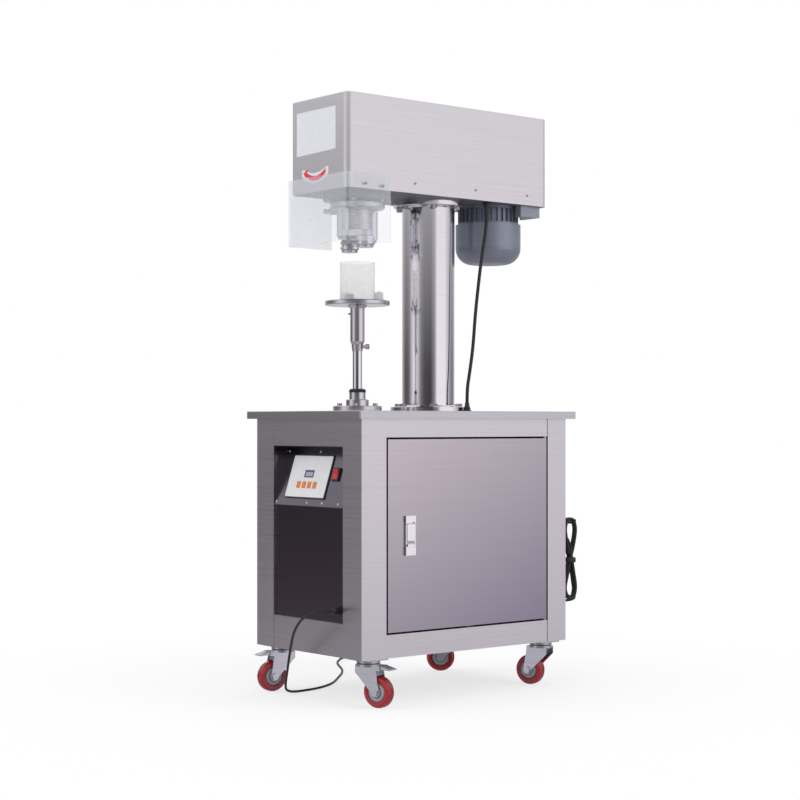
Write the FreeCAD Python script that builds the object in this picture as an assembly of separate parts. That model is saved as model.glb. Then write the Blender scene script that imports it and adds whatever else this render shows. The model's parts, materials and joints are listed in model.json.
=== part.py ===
"""Pedestal can seamer: a steel cabinet on four casters, a column that carries the drive head,
and a lift post that raises the can on its tray to the seaming rollers.

Millimetres. X is to the right as the operator sees it, Y runs from the operator to the back and
Z is up from the floor. The origin is on the floor under the middle of the machine.
"""

import FreeCAD, Part
import math
import os
from FreeCAD import Placement, Rotation, Vector

# ------------------------------------------------------------------ driving sizes
overall_depth = 755.0  # front edge of the table to the back of the head
floor_z = 0.0
caster_height = 122.0
cabinet_height = 600.0
table_thickness = 20.0
column_height = 567.0
head_height = 243.0

table_width = 490.0
table_depth = 745.0
table_overhang = 20.0
sheet = 2.0  # cabinet sheet metal
touch_gap = 0.3  # between pieces that move past each other
running_gap = 0.05  # radial, between a shaft and its bore

post_setback = 163.0  # lift post axis behind the cabinet's front face
column_setback = 407.0
motor_setback = 625.0
head_setback = 34.5

# cabinet
post_width = 76.0  # leg of a corner post on the front and back
front_post_leg = 79.0  # leg of a front post on the sides
rear_post_leg = 67.0
post_lip = 12.0
rail_setback = 1.5
top_rail_height = 70.0
bottom_rail_height = 85.0
side_top_rail_height = 47.0
side_bottom_rail_height = 58.5
floor_sheet = 3.0
table_corner_radius = 3.0

# control recess in the cabinet's front
recess_height = 154.0
recess_depth = 50.0
keypad_width = 166.0
keypad_height = 111.0
keypad_centre_x = -24.0
keypad_rise = 78.0  # from the foot of the slope to the keypad's middle
keypad_thickness = 3.0
keypad_frame = 2.5
window_width = 40.0
window_height = 20.0
window_x = -25.0
window_rise = 85.0
button_width = 14.0
button_height = 17.0
button_pitch = 23.0
button_x = -25.0  # middle of the row
button_rise = 55.0
button_proud = 2.0
button_travel = 1.0
switch_x = 89.0
switch_rise = 86.0
bezel_width = 27.0
bezel_height = 35.0
bezel_thickness = 5.0
rocker_width = 18.6
rocker_height = 25.8
rocker_pin_radius = 1.2
rocker_end_gap = 0.9

# door
door_gap = 5.0
door_depth = 18.0
door_handle_setback = 70.0  # latch centre behind the door's front edge
latch_width = 32.0
latch_height = 100.0
latch_centre_z = 427.0
hinge_pin_radius = 3.0
hinge_inset = 4.0  # hinge axis from the door's outer and back faces

# lift post
housing_flange_radius = 64.0
housing_flange_thickness = 14.0
housing_hub_radius = 30.0
housing_hub_height = 17.0
housing_neck_radius = 21.5
housing_neck_height = 18.0
wiper_radius = 22.0
wiper_height = 10.0
rod_radius = 12.5
rod_above_table = 207.0
rod_below_table = 130.0
lift_stroke = 50.0
tray_drop = 60.0  # how far the tray's sleeve can be lowered on the rod
sleeve_bottom_height = 157.0  # above the table
sleeve_foot_radius = 13.8
sleeve_slim_radius = 15.6
sleeve_slim_length = 18.0
sleeve_taper_length = 8.0
sleeve_radius = 19.0
tray_height = 289.0  # upper face above the table
tray_thickness = 12.0
tray_radius = 85.0
can_radius = 46.0
can_height = 101.0
can_wall = 1.0
block_width = 32.0
block_height = 22.0
block_depth = 22.0
block_angles = (51.0, 171.0)

# column
column_radius = 71.0
column_wall = 4.0
base_flange_radius = 102.5
base_flange_thickness = 13.0
top_flange_radius = 95.0
top_flange_thickness = 16.0
flange_bolt_radius = 5.0
bolt_head_radius = 9.0
bolt_head_height = 8.0

# head
head_width = 247.0
head_sheet = 2.0
head_corner_radius = 18.0
base_plate_thickness = 12.0
spindle_flange_radius = 90.0
spindle_flange_thickness = 16.0
spindle_barrel_radius = 55.0
pulley_level = 46.0  # underside of the pulleys above the head's underside
pulley_height = 22.0
turret_pulley_radius = 60.0
motor_pulley_radius = 30.0
belt_thickness = 4.0
belt_width = 18.0

# seaming turret, measured down from the head's underside
turret_top = 24.0
turret_bottom = 38.0
turret_radius = 72.0
hub_radius = 35.0
lower_hub_radius = 38.0
lower_hub_depth = 94.0
centre_shaft_radius = 12.0
pivot_radius = 10.5
pivot_reach = 58.0
pivot_lag = 55.0  # degrees from a roller back to its lever's pivot
pivot_nut_radius = 14.0
pivot_nut_height = 6.0
roller_angle = -22.4
roller_reach = 75.0
roller_radius = 25.0
roller_top = 114.0
roller_bottom = 138.0
roller_groove_depth = 2.5
roller_pin_radius = 7.0
roller_cap_radius = 21.5
roller_cap_height = 6.0
lever_arm_top = 98.0
lever_sleeve_radius = 17.0
lever_sleeve_top = 40.0
upper_arm_top = 41.0
upper_arm_height = 16.0
upper_arm_bearings = (-129.0, 140.0)
upper_arm_reach = 34.0
knob_radius = 7.0
knob_reach = 46.0
chuck_radius = 42.0
chuck_top = 112.0
chuck_bottom = 130.0

# guard
guard_thickness = 5.0
guard_rise = 38.0  # above the head's underside
guard_drop = 135.0
guard_length = 143.0
guard_corner_radius = 9.0

# motor
motor_radius = 84.0
motor_body_height = 48.0
motor_fins = 32
fin_depth = 7.0
fin_thickness = 3.0
motor_shaft_radius = 9.5
cowl_radius = 90.5
cowl_height = 109.0
cowl_rounding = 44.0
cowl_sheet = 2.5
box_height = 30.0
box_reach = 112.0

# casters
caster_inset_x = 41.0
caster_inset_y = 54.0
wheel_radius = 40.0
wheel_width = 30.0
wheel_bore_radius = 6.0
caster_trail = 32.0
plate_size = 74.0
plate_thickness = 4.0
race_radius = 30.0
race_height = 9.0
fork_sheet = 2.5
fork_top_height = 8.0
king_pin_radius = 6.0
caster_yaws = {"front_left": 262.0, "front_right": 17.0, "rear_left": 230.0, "rear_right": 196.0}
braked = ("front_left", "front_right")

# ------------------------------------------------------------------ levels and places
X_AXIS = Vector(1, 0, 0)
Y_AXIS = Vector(0, 1, 0)
Z_AXIS = Vector(0, 0, 1)

cabinet_bottom = floor_z + caster_height
cabinet_top = cabinet_bottom + cabinet_height
table_top = cabinet_top + table_thickness
head_bottom = table_top + column_height
head_top = head_bottom + head_height

table_front = -overall_depth / 2
table_back = table_front + table_depth
front = table_front + table_overhang  # cabinet's front face
back = table_back - table_overhang
half_width = table_width / 2 - table_overhang
head_front = front + head_setback
head_back = overall_depth / 2
post_y = front + post_setback
column_y = front + column_setback
motor_y = front + motor_setback
post_at = Vector(0, post_y, 0)
column_at = Vector(0, column_y, 0)
motor_at = Vector(0, motor_y, 0)

clear_half = half_width - post_width  # half the clear width between the front posts
recess_top = cabinet_top - top_rail_height
recess_bottom = recess_top - recess_height
bottom_rail_top = cabinet_bottom + bottom_rail_height
slope = math.degrees(math.atan2(recess_depth, recess_height))
slope_length = math.hypot(recess_depth, recess_height)

parts = {}


# ------------------------------------------------------------------ shape helpers
def box(x0, x1, y0, y1, z0, z1):
    """A block between two corners, given in any order."""
    low = Vector(min(x0, x1), min(y0, y1), min(z0, z1))
    return Part.makeBox(abs(x1 - x0), abs(y1 - y0), abs(z1 - z0), low)


def disc(radius, z0, z1, at=Vector(0, 0, 0)):
    """An upright cylinder between two levels."""
    return Part.makeCylinder(radius, z1 - z0, Vector(at.x, at.y, z0))


def rod(radius, start, end):
    """A cylinder from one point to another."""
    return Part.makeCylinder(radius, (end - start).Length, start, end - start)


def ring(outer, inner, z0, z1, at=Vector(0, 0, 0)):
    return disc(outer, z0, z1, at).cut(disc(inner, z0 - 1, z1 + 1, at))


def revolved(outline, at=Vector(0, 0, 0)):
    """Turn a closed outline of (radius, z) points about the upright line through `at`."""
    points = [Vector(r, 0, z) for r, z in outline]
    face = Part.Face(Part.makePolygon(points + points[:1]))
    solid = face.revolve(Vector(0, 0, 0), Z_AXIS, 360)
    solid.translate(Vector(at.x, at.y, 0))
    return solid


def fused(shapes):
    """One clean solid from several that touch or overlap."""
    first, *others = shapes
    return first.multiFuse(others).removeSplitter() if others else first


def cut_all(shape, tools):
    for tool in tools:
        shape = shape.cut(tool)
    return shape


def rounded_block(x0, x1, y0, y1, z0, z1, radius):
    """A block with its four upright edges rounded."""
    block = box(x0, x1, y0, y1, z0, z1)
    upright = [e for e in block.Edges if abs(e.BoundBox.ZLength - abs(z1 - z0)) < 1e-6]
    return block.makeFillet(radius, upright)


def polar(radius, angle, at=Vector(0, 0, 0), z=0.0):
    """The point at `radius` and `angle` degrees round the upright line through `at`."""
    a = math.radians(angle)
    return Vector(at.x + radius * math.cos(a), at.y + radius * math.sin(a), z)


def around(shape, angle, at):
    """A copy of `shape` turned about the upright line through `at`."""
    copy = shape.copy()
    copy.rotate(Vector(at.x, at.y, 0), Z_AXIS, angle)
    return copy


def belt_outline(at_a, radius_a, at_b, radius_b, z0, z1):
    """The solid inside a belt that runs round two upright pulleys."""
    line = at_b - at_a
    heading = math.degrees(math.atan2(line.y, line.x))
    wrap = math.degrees(math.acos((radius_a - radius_b) / math.hypot(line.x, line.y)))
    a = [polar(radius_a, heading + s, at_a) for s in (wrap, 180.0, -wrap)]
    b = [polar(radius_b, heading + s, at_b) for s in (-wrap, 0.0, wrap)]
    edges = [
        Part.Arc(*a).toShape(),
        Part.makeLine(a[2], b[0]),
        Part.Arc(*b).toShape(),
        Part.makeLine(b[2], a[0]),
    ]
    solid = Part.Face(Part.Wire(edges)).extrude(Vector(0, 0, z1 - z0))
    solid.translate(Vector(0, 0, z0))
    return solid


def hexagon(across_radius, z0, z1, at):
    """A hexagonal head or nut with the given corner radius."""
    corners = [polar(across_radius, 60 * i, at, z0) for i in range(6)]
    return Part.Face(Part.makePolygon(corners + corners[:1])).extrude(Vector(0, 0, z1 - z0))


def on_slope(shape):
    """Carry a shape from the plane Y = 0, Z up, to the sloping control panel's face."""
    moved = shape.copy()
    foot = Vector(0, front + rail_setback, recess_bottom)
    moved.Placement = Placement(foot, Rotation(X_AXIS, -slope)).multiply(moved.Placement)
    return moved


def keep(name, *shapes):
    """File a node: one shape, or several separate solids as one group."""
    parts[name] = shapes[0] if len(shapes) == 1 else Part.makeCompound(list(shapes))


# ------------------------------------------------------------------ cabinet
def corner_post(side_x, is_front):
    """A folded corner post with an inward lip along each edge."""
    face_y = front if is_front else back
    inward = 1 if is_front else -1
    leg = front_post_leg if is_front else rear_post_leg
    x_out = side_x * half_width
    x_end = side_x * (half_width - post_width)
    z0, z1 = cabinet_bottom, cabinet_top
    y_end = face_y + inward * leg
    return fused(
        [
            box(x_out, x_end, face_y, face_y + inward * sheet, z0, z1),
            box(x_out, x_out - side_x * sheet, face_y, y_end, z0, z1),
            box(x_end, x_end + side_x * sheet, face_y, face_y + inward * post_lip, z0, z1),
            box(x_out, x_out - side_x * post_lip, y_end - inward * sheet, y_end, z0, z1),
        ]
    )


def front_or_back_rail(is_front, z0, z1, lip_at_top):
    """A rail between two posts, with a lip along the edge that faces the opening."""
    face_y = front if is_front else back
    inward = 1 if is_front else -1
    y0 = face_y + inward * rail_setback
    lip_z = z1 - sheet if lip_at_top else z0
    plate = box(-clear_half, clear_half, y0, y0 + inward * sheet, z0, z1)
    lip = box(-clear_half, clear_half, y0, face_y + inward * post_lip, lip_z, lip_z + sheet)
    return fused([plate, lip])


def side_rail(side_x, z0, z1, lip_at_top):
    x0 = side_x * (half_width - rail_setback)
    y0, y1 = front + front_post_leg, back - rear_post_leg
    lip_z = z1 - sheet if lip_at_top else z0
    plate = box(x0, x0 - side_x * sheet, y0, y1, z0, z1)
    lip = box(x0, side_x * (half_width - post_lip), y0, y1, lip_z, lip_z + sheet)
    return fused([plate, lip])


side_low = cabinet_bottom + side_bottom_rail_height
side_high = cabinet_top - side_top_rail_height


def cabinet():
    posts = [corner_post(x, f) for x in (-1, 1) for f in (True, False)]
    rails = [
        front_or_back_rail(True, recess_top, cabinet_top, False),
        front_or_back_rail(True, cabinet_bottom, bottom_rail_top, True),
        front_or_back_rail(False, recess_top, cabinet_top, False),
        front_or_back_rail(False, cabinet_bottom, bottom_rail_top, True),
    ]
    for x in (-1, 1):
        rails.append(side_rail(x, side_high, cabinet_top, False))
        rails.append(side_rail(x, cabinet_bottom, side_low, True))
    keep("cabinet_frame", *posts, *rails)

    x0 = -(half_width - rail_setback)
    left = box(x0, x0 + sheet, front + front_post_leg, back - rear_post_leg, side_low, side_high)
    y0 = back - rail_setback
    rear = box(-clear_half, clear_half, y0 - sheet, y0, bottom_rail_top, recess_top)
    keep("side_rear_panels", left, rear)

    inset = half_width - post_lip
    floor = box(
        -inset, inset, front + post_lip, back - post_lip, cabinet_bottom, cabinet_bottom + floor_sheet
    )
    keep("cabinet_floor", floor)

    table = rounded_block(
        -table_width / 2, table_width / 2, table_front, table_back, cabinet_top, table_top,
        table_corner_radius,
    )
    top_edges = [e for e in table.Edges if e.BoundBox.ZMin > table_top - 1e-6]
    table = table.makeFillet(table_corner_radius / 2, top_edges)
    keep("table_top", table.cut(disc(rod_radius + 10, cabinet_top - 1, table_top + 1, post_at)))


panel_setback = 6.5
lower_panel_y = front + panel_setback


def front_panel():
    """The dark panel below the control recess."""
    panel = box(
        -clear_half, clear_half, lower_panel_y, lower_panel_y + sheet,
        bottom_rail_top, recess_bottom - sheet,
    )
    keep("front_panel", panel)


def control_recess():
    """A folded box: a short ledge, the sloping panel, a closing sheet on top and two cheeks."""
    y0, y1 = front + rail_setback, front + rail_setback + recess_depth
    z0, z1 = recess_bottom, recess_top
    rise = sheet / math.cos(math.radians(slope))
    outline = [
        (y0, z0),
        (y1, z1),
        (y1 + rise, z1),
        (y0 + rise + sheet * recess_depth / recess_height, z0),
        (lower_panel_y + sheet, z0),
        (lower_panel_y + sheet, z0 - sheet),
        (y0, z0 - sheet),
    ]
    points = [Vector(-clear_half, y, z) for y, z in outline]
    folded = Part.Face(Part.makePolygon(points + points[:1])).extrude(Vector(2 * clear_half, 0, 0))
    lid = box(-clear_half, clear_half, y0 + sheet, y1 + rise, z1 - sheet, z1)
    cheek_points = [Vector(-clear_half, y, z) for y, z in ((y0, z0), (y1, z1), (y0, z1))]
    cheek = Part.Face(Part.makePolygon(cheek_points + cheek_points[:1]))
    left = cheek.extrude(Vector(sheet, 0, 0))
    right = left.translated(Vector(2 * clear_half - sheet, 0, 0))
    keep("control_box", fused([folded, lid, left, right]))


def button_place(index):
    """Centre of a keypad button on the slope."""
    return button_x + (index - 1.5) * button_pitch


def control_panel():
    half_w, half_h = keypad_width / 2, keypad_height / 2
    x, v = keypad_centre_x, keypad_rise
    plate = box(x - half_w, x + half_w, -keypad_thickness, 0, v - half_h, v + half_h)
    across = [e for e in plate.Edges if abs(e.BoundBox.YLength - keypad_thickness) < 1e-6]
    plate = plate.makeFillet(4.0, across)
    window = box(
        window_x - window_width / 2, window_x + window_width / 2,
        -keypad_thickness - 1, -keypad_thickness / 2,
        window_rise - window_height / 2, window_rise + window_height / 2,
    )
    plate = plate.cut(window)
    hole_w, hole_h = button_width / 2 + touch_gap, button_height / 2 + touch_gap
    for i in range(4):
        c = button_place(i)
        plate = plate.cut(
            box(c - hole_w, c + hole_w, -keypad_thickness - 1, 1,
                button_rise - hole_h, button_rise + hole_h)
        )
        cap = box(
            c - button_width / 2, c + button_width / 2,
            -keypad_thickness - button_proud, -button_travel - touch_gap,
            button_rise - button_height / 2, button_rise + button_height / 2,
        )
        rim = [e for e in cap.Edges if e.BoundBox.YMax < -keypad_thickness - button_proud + 1e-6]
        keep(f"button_{i + 1}", on_slope(cap.makeFillet(1.2, rim)))
    keep("keypad_plate", on_slope(plate))


def power_switch():
    """A rocker switch in its bezel; the rocker turns on a pin across the middle of the bezel."""
    outer = box(
        switch_x - bezel_width / 2, switch_x + bezel_width / 2, -bezel_thickness, 0,
        switch_rise - bezel_height / 2, switch_rise + bezel_height / 2,
    )
    rim = [e for e in outer.Edges if e.BoundBox.YMax < -bezel_thickness + 1e-6]
    outer = outer.makeFillet(1.5, rim)
    half_w, half_h = rocker_width / 2 + touch_gap, rocker_height / 2 + rocker_end_gap
    hole = box(
        switch_x - half_w, switch_x + half_w, -bezel_thickness - 1, 1,
        switch_rise - half_h, switch_rise + half_h,
    )
    pin_y = -bezel_thickness / 2
    pin_reach = rocker_width / 2 + 3.0
    pin_from = Vector(switch_x - pin_reach, pin_y, switch_rise)
    pin_to = Vector(switch_x + pin_reach, pin_y, switch_rise)
    pin_hole = rod(rocker_pin_radius + running_gap, pin_from - X_AXIS * 0.5, pin_to + X_AXIS * 0.5)
    keep("switch_bezel", on_slope(outer.cut(hole).cut(pin_hole)))
    low, high = switch_rise - rocker_height / 2, switch_rise + rocker_height / 2
    outline = [
        (-1.0, switch_rise - 4),
        (-1.0, switch_rise + 4),
        (-3.0, high - 0.2),
        (-bezel_thickness - 3.5, high),
        (-bezel_thickness - 0.8, switch_rise),
        (-bezel_thickness - 0.6, low),
        (-3.0, low + 0.2),
    ]
    points = [Vector(switch_x - rocker_width / 2, y, z) for y, z in outline]
    rocker = Part.Face(Part.makePolygon(points + points[:1])).extrude(Vector(rocker_width, 0, 0))
    keep("rocker", on_slope(fused([rocker, rod(rocker_pin_radius, pin_from, pin_to)])))


# ------------------------------------------------------------------ door
door_x = half_width
door_y0 = front + front_post_leg + door_gap
door_y1 = back - rear_post_leg - door_gap
door_z0 = side_low + door_gap
door_z1 = side_high - door_gap
hinge_at = Vector(door_x - hinge_inset, door_y1 - hinge_inset, 0)
latch_y = door_y0 + door_handle_setback


def door():
    """A folded pan door on two pins in its rear edge."""
    outer = box(door_x - door_depth, door_x, door_y0, door_y1, door_z0, door_z1)
    inner = box(
        door_x - door_depth - 1, door_x - sheet, door_y0 + sheet, door_y1 - sheet,
        door_z0 + sheet, door_z1 - sheet,
    )
    pin_hole = disc(hinge_pin_radius + running_gap, door_z0 - 1, door_z1 + 1, hinge_at)
    skin_relief = 2 * hinge_pin_radius
    boss = box(
        door_x - hinge_inset - skin_relief, door_x - sheet, door_y1 - hinge_inset - skin_relief,
        door_y1 - sheet, door_z0, door_z1,
    )
    keep("door", fused([outer.cut(inner), boss]).cut(pin_hole))

    pins = []
    for z_end, inward in ((side_low, 1), (side_high, -1)):
        reach = z_end + inward * 16
        pin = disc(hinge_pin_radius, min(z_end, reach), max(z_end, reach), hinge_at)
        washer_end = z_end + inward * (door_gap - touch_gap)
        washer = disc(
            2 * hinge_pin_radius - 1, min(z_end, washer_end), max(z_end, washer_end), hinge_at
        )
        pins.append(fused([pin, washer]))
    keep("door_hinges", *pins)


latch_proud = 6.0
latch_plate = 1.5
latch_top_block = 16.0
latch_low_block = 21.0
latch_cheek = 3.5
latch_pin_radius = 1.5
latch_pin_z = latch_centre_z + latch_height / 2 - latch_top_block - 5.0
latch_pin_x = door_x + latch_plate + 2.6


def door_latch():
    """A surface latch: a chrome base with two end blocks, and a lever on a pin between cheeks."""
    x0 = door_x
    half_w, half_h = latch_width / 2, latch_height / 2
    z0, z1 = latch_centre_z - half_h, latch_centre_z + half_h
    y0, y1 = latch_y - half_w, latch_y + half_w
    base = fused(
        [
            box(x0, x0 + latch_plate, y0, y1, z0, z1),
            box(x0, x0 + latch_proud, y0, y1, z1 - latch_top_block, z1),
            box(x0, x0 + latch_proud, y0, y1, z0, z0 + latch_low_block),
            box(x0, x0 + latch_proud - 1.2, y0, y0 + latch_cheek, z0 + 4, z1 - 4),
            box(x0, x0 + latch_proud - 1.2, y1 - latch_cheek, y1, z0 + 4, z1 - 4),
        ]
    )
    pin_hole = rod(
        latch_pin_radius + running_gap,
        Vector(latch_pin_x, y0 + 0.5, latch_pin_z),
        Vector(latch_pin_x, y1 - 0.5, latch_pin_z),
    )
    keep("latch_base", base.cut(pin_hole))

    lever_half = half_w - latch_cheek - touch_gap
    lever_x0 = x0 + latch_plate + touch_gap
    lever_bottom = z0 + latch_low_block + 1.0
    outline = [
        (lever_x0, lever_bottom + 4),
        (lever_x0, latch_pin_z),
        (lever_x0 + 4.4, latch_pin_z),
        (lever_x0 + 4.4, lever_bottom + 15),
        (lever_x0 + 2.2, lever_bottom + 8),
        (lever_x0 + 6.2, lever_bottom + 6),
        (lever_x0 + 6.2, lever_bottom),
        (lever_x0 + 3.0, lever_bottom),
    ]
    points = [Vector(x, latch_y - lever_half, z) for x, z in outline]
    blade = Part.Face(Part.makePolygon(points + points[:1])).extrude(Vector(0, 2 * lever_half, 0))
    pivot_from = Vector(latch_pin_x, latch_y - lever_half, latch_pin_z)
    barrel = rod(2.2, pivot_from, pivot_from + Y_AXIS * 2 * lever_half)
    pin = rod(
        latch_pin_radius,
        Vector(latch_pin_x, y0 + 1.0, latch_pin_z),
        Vector(latch_pin_x, y1 - 1.0, latch_pin_z),
    )
    keep("latch_lever", fused([blade, barrel, pin]))


# ------------------------------------------------------------------ lift post, tray and can
cylinder_radius = 40.0
piston_radius = 29.0
piston_height = 12.0
rod_bottom = table_top - rod_below_table
rod_top = table_top + rod_above_table


def lift_post():
    z1 = table_top + housing_flange_thickness
    z2 = z1 + housing_hub_height
    z3 = z2 + housing_neck_height
    housing = revolved(
        [
            (rod_radius + running_gap, table_top),
            (housing_flange_radius, table_top),
            (housing_flange_radius, z1 - 1.5),
            (housing_flange_radius - 1.5, z1),
            (housing_hub_radius, z1),
            (housing_hub_radius, z2 - 2),
            (housing_hub_radius - 2, z2),
            (housing_neck_radius, z2),
            (housing_neck_radius, z3),
            (rod_radius + running_gap, z3),
        ],
        post_at,
    )
    keep("lift_housing", housing)
    z4 = z3 + wiper_height
    wiper = revolved(
        [
            (rod_radius + running_gap, z3),
            (wiper_radius, z3),
            (wiper_radius, z4 - 3),
            (rod_radius + 4, z4),
            (rod_radius + running_gap, z4),
        ],
        post_at,
    )
    keep("lift_wiper", wiper)

    piston_bottom = rod_bottom - touch_gap
    cap_bottom = cabinet_top - 30
    barrel = revolved(
        [
            (0, piston_bottom - 12),
            (cylinder_radius, piston_bottom - 12),
            (cylinder_radius, cabinet_top - 12),
            (cylinder_radius + 15, cabinet_top - 12),
            (cylinder_radius + 15, cabinet_top),
            (rod_radius + running_gap, cabinet_top),
            (rod_radius + running_gap, cap_bottom),
            (piston_radius + running_gap, cap_bottom),
            (piston_radius + running_gap, piston_bottom),
            (0, piston_bottom),
        ],
        post_at,
    )
    keep("lift_cylinder", barrel)
    lift_rod = fused(
        [
            disc(rod_radius, rod_bottom, rod_top, post_at),
            disc(piston_radius, rod_bottom, rod_bottom + piston_height, post_at),
        ]
    )
    tip = [e for e in lift_rod.Edges if e.BoundBox.ZMin > rod_top - 1e-6]
    keep("lift_rod", lift_rod.makeChamfer(1.5, tip))


tray_top = table_top + tray_height
tray_bottom = tray_top - tray_thickness
sleeve_bottom = table_top + sleeve_bottom_height
thumb_angle = 31.0
thumb_level = sleeve_bottom + sleeve_slim_length / 2 + 3


def tray():
    """The can tray welded on its sleeve, with the rim lug and the set screw."""
    z1 = sleeve_bottom + sleeve_slim_length
    z2 = z1 + sleeve_taper_length
    bore = rod_radius + running_gap
    bore_top = rod_top + tray_drop + 3
    solid = revolved(
        [
            (bore, sleeve_bottom),
            (sleeve_foot_radius, sleeve_bottom),
            (sleeve_slim_radius, z1),
            (sleeve_radius, z2),
            (sleeve_radius, tray_bottom - 8),
            (sleeve_radius + 8, tray_bottom),
            (tray_radius - 2, tray_bottom),
            (tray_radius, tray_bottom + 2),
            (tray_radius, tray_top - 1.5),
            (tray_radius - 1.5, tray_top),
            (can_radius + 14, tray_top),
            (can_radius + 12, tray_top - 1.5),
            (can_radius + 10, tray_top),
            (0, tray_top),
            (0, bore_top),
            (bore, bore_top),
        ],
        post_at,
    )
    lug_from = polar(tray_radius - 3, 24.0, post_at, tray_bottom + tray_thickness / 2)
    lug_to = polar(tray_radius + 6, 24.0, post_at, tray_bottom + tray_thickness / 2)
    lug = rod(4.5, lug_from, lug_to)
    screw_level = tray_bottom - 22
    screw = rod(
        3.0, polar(sleeve_radius - 2, 231.0, post_at, screw_level),
        polar(sleeve_radius + 5, 231.0, post_at, screw_level),
    )
    thumb_hole = rod(
        2.5 + running_gap, polar(rod_radius - 2, thumb_angle, post_at, thumb_level),
        polar(sleeve_slim_radius + 4, thumb_angle, post_at, thumb_level),
    )
    keep("tray", fused([solid, lug, screw]).cut(thumb_hole))

    thumb = [
        rod(2.5, polar(rod_radius + touch_gap, thumb_angle, post_at, thumb_level),
            polar(sleeve_slim_radius + 9, thumb_angle, post_at, thumb_level)),
        rod(7.0, polar(sleeve_slim_radius + 8, thumb_angle, post_at, thumb_level),
            polar(sleeve_slim_radius + 16, thumb_angle, post_at, thumb_level)),
        rod(4.5, polar(sleeve_slim_radius + 1, thumb_angle, post_at, thumb_level),
            polar(sleeve_slim_radius + 8, thumb_angle, post_at, thumb_level)),
    ]
    keep("thumb_screw", fused(thumb))

    inner = can_radius + touch_gap
    block = box(inner, inner + block_depth, -block_width / 2, block_width / 2,
                tray_top, tray_top + block_height)
    upright = [e for e in block.Edges if abs(e.BoundBox.ZLength - block_height) < 1e-6]
    block = block.makeFillet(2.5, upright)
    head = Part.makeCylinder(4.0, 3.5, Vector(inner + block_depth / 2, 0, tray_top + block_height))
    block = fused([block, head])
    block.translate(post_at)
    keep("locating_blocks", *[around(block, a, post_at) for a in block_angles])


def can():
    """A clear can with a rolled rim and a bead round its middle."""
    z0, z1 = tray_top, tray_top + can_height
    r, w = can_radius, can_wall
    middle = z0 + 0.49 * can_height
    body = revolved(
        [
            (0, z0 + 3),
            (r - 8, z0 + 3),
            (r - 5, z0),
            (r - 1.5, z0),
            (r, z0 + 1.5),
            (r, middle - 1.5),
            (r - 0.8, middle),
            (r, middle + 1.5),
            (r, z1 - 4),
            (r + 0.75, z1 - 3.5),
            (r + 0.75, z1 - 0.5),
            (r + 0.25, z1),
            (r - w, z1),
            (r - w, middle + 2),
            (r - w - 0.8, middle),
            (r - w, middle - 2),
            (r - w, z0 + 2.0),
            (r - 2.2, z0 + w),
            (r - 4.6, z0 + w),
            (r - 7.6, z0 + 3 + w),
            (0, z0 + 3 + w),
        ],
        post_at,
    )
    keep("can", body)


# ------------------------------------------------------------------ column
def column():
    z0, z1 = table_top, head_bottom
    inner = column_radius - column_wall
    solid = revolved(
        [
            (inner, z0),
            (base_flange_radius, z0),
            (base_flange_radius, z0 + base_flange_thickness - 1.5),
            (base_flange_radius - 1.5, z0 + base_flange_thickness),
            (column_radius + 4, z0 + base_flange_thickness),
            (column_radius, z0 + base_flange_thickness + 4),
            (column_radius, z1 - top_flange_thickness - 4),
            (column_radius + 4, z1 - top_flange_thickness),
            (top_flange_radius - 1.5, z1 - top_flange_thickness),
            (top_flange_radius, z1 - top_flange_thickness + 1.5),
            (top_flange_radius, z1),
            (inner, z1),
        ],
        column_at,
    )
    keep("column", solid)


base_bolt_circle = (base_flange_radius + column_radius) / 2 + 1
top_bolt_circle = (top_flange_radius + column_radius) / 2
housing_bolt_circle = (housing_flange_radius + housing_hub_radius) / 2
spindle_bolt_circle = spindle_flange_radius - 9


def flange_bolts():
    """The hexagon bolts of the column's flanges, the lift housing and the spindle flange."""
    bolts = []
    z = table_top + base_flange_thickness
    for i in range(6):
        at = polar(base_bolt_circle, 30 + 60 * i, column_at)
        bolts.append(hexagon(bolt_head_radius, z, z + bolt_head_height, at))
    z = head_bottom - top_flange_thickness
    for i in range(6):
        at = polar(top_bolt_circle, 30 + 60 * i, column_at)
        bolts.append(hexagon(bolt_head_radius, z - bolt_head_height, z, at))
    z = table_top + housing_flange_thickness
    for i in range(4):
        at = polar(housing_bolt_circle, 45 + 90 * i, post_at)
        bolts.append(disc(6.5, z, z + 7, at))
    z = head_bottom - spindle_flange_thickness
    for i in range(6):
        at = polar(spindle_bolt_circle, 15 + 60 * i, post_at)
        bolts.append(hexagon(7.0, z - 6, z, at))
    keep("flange_bolts", *bolts)


# ------------------------------------------------------------------ head
bridge_height = 100.0
bridge_half = 85.0


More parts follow.
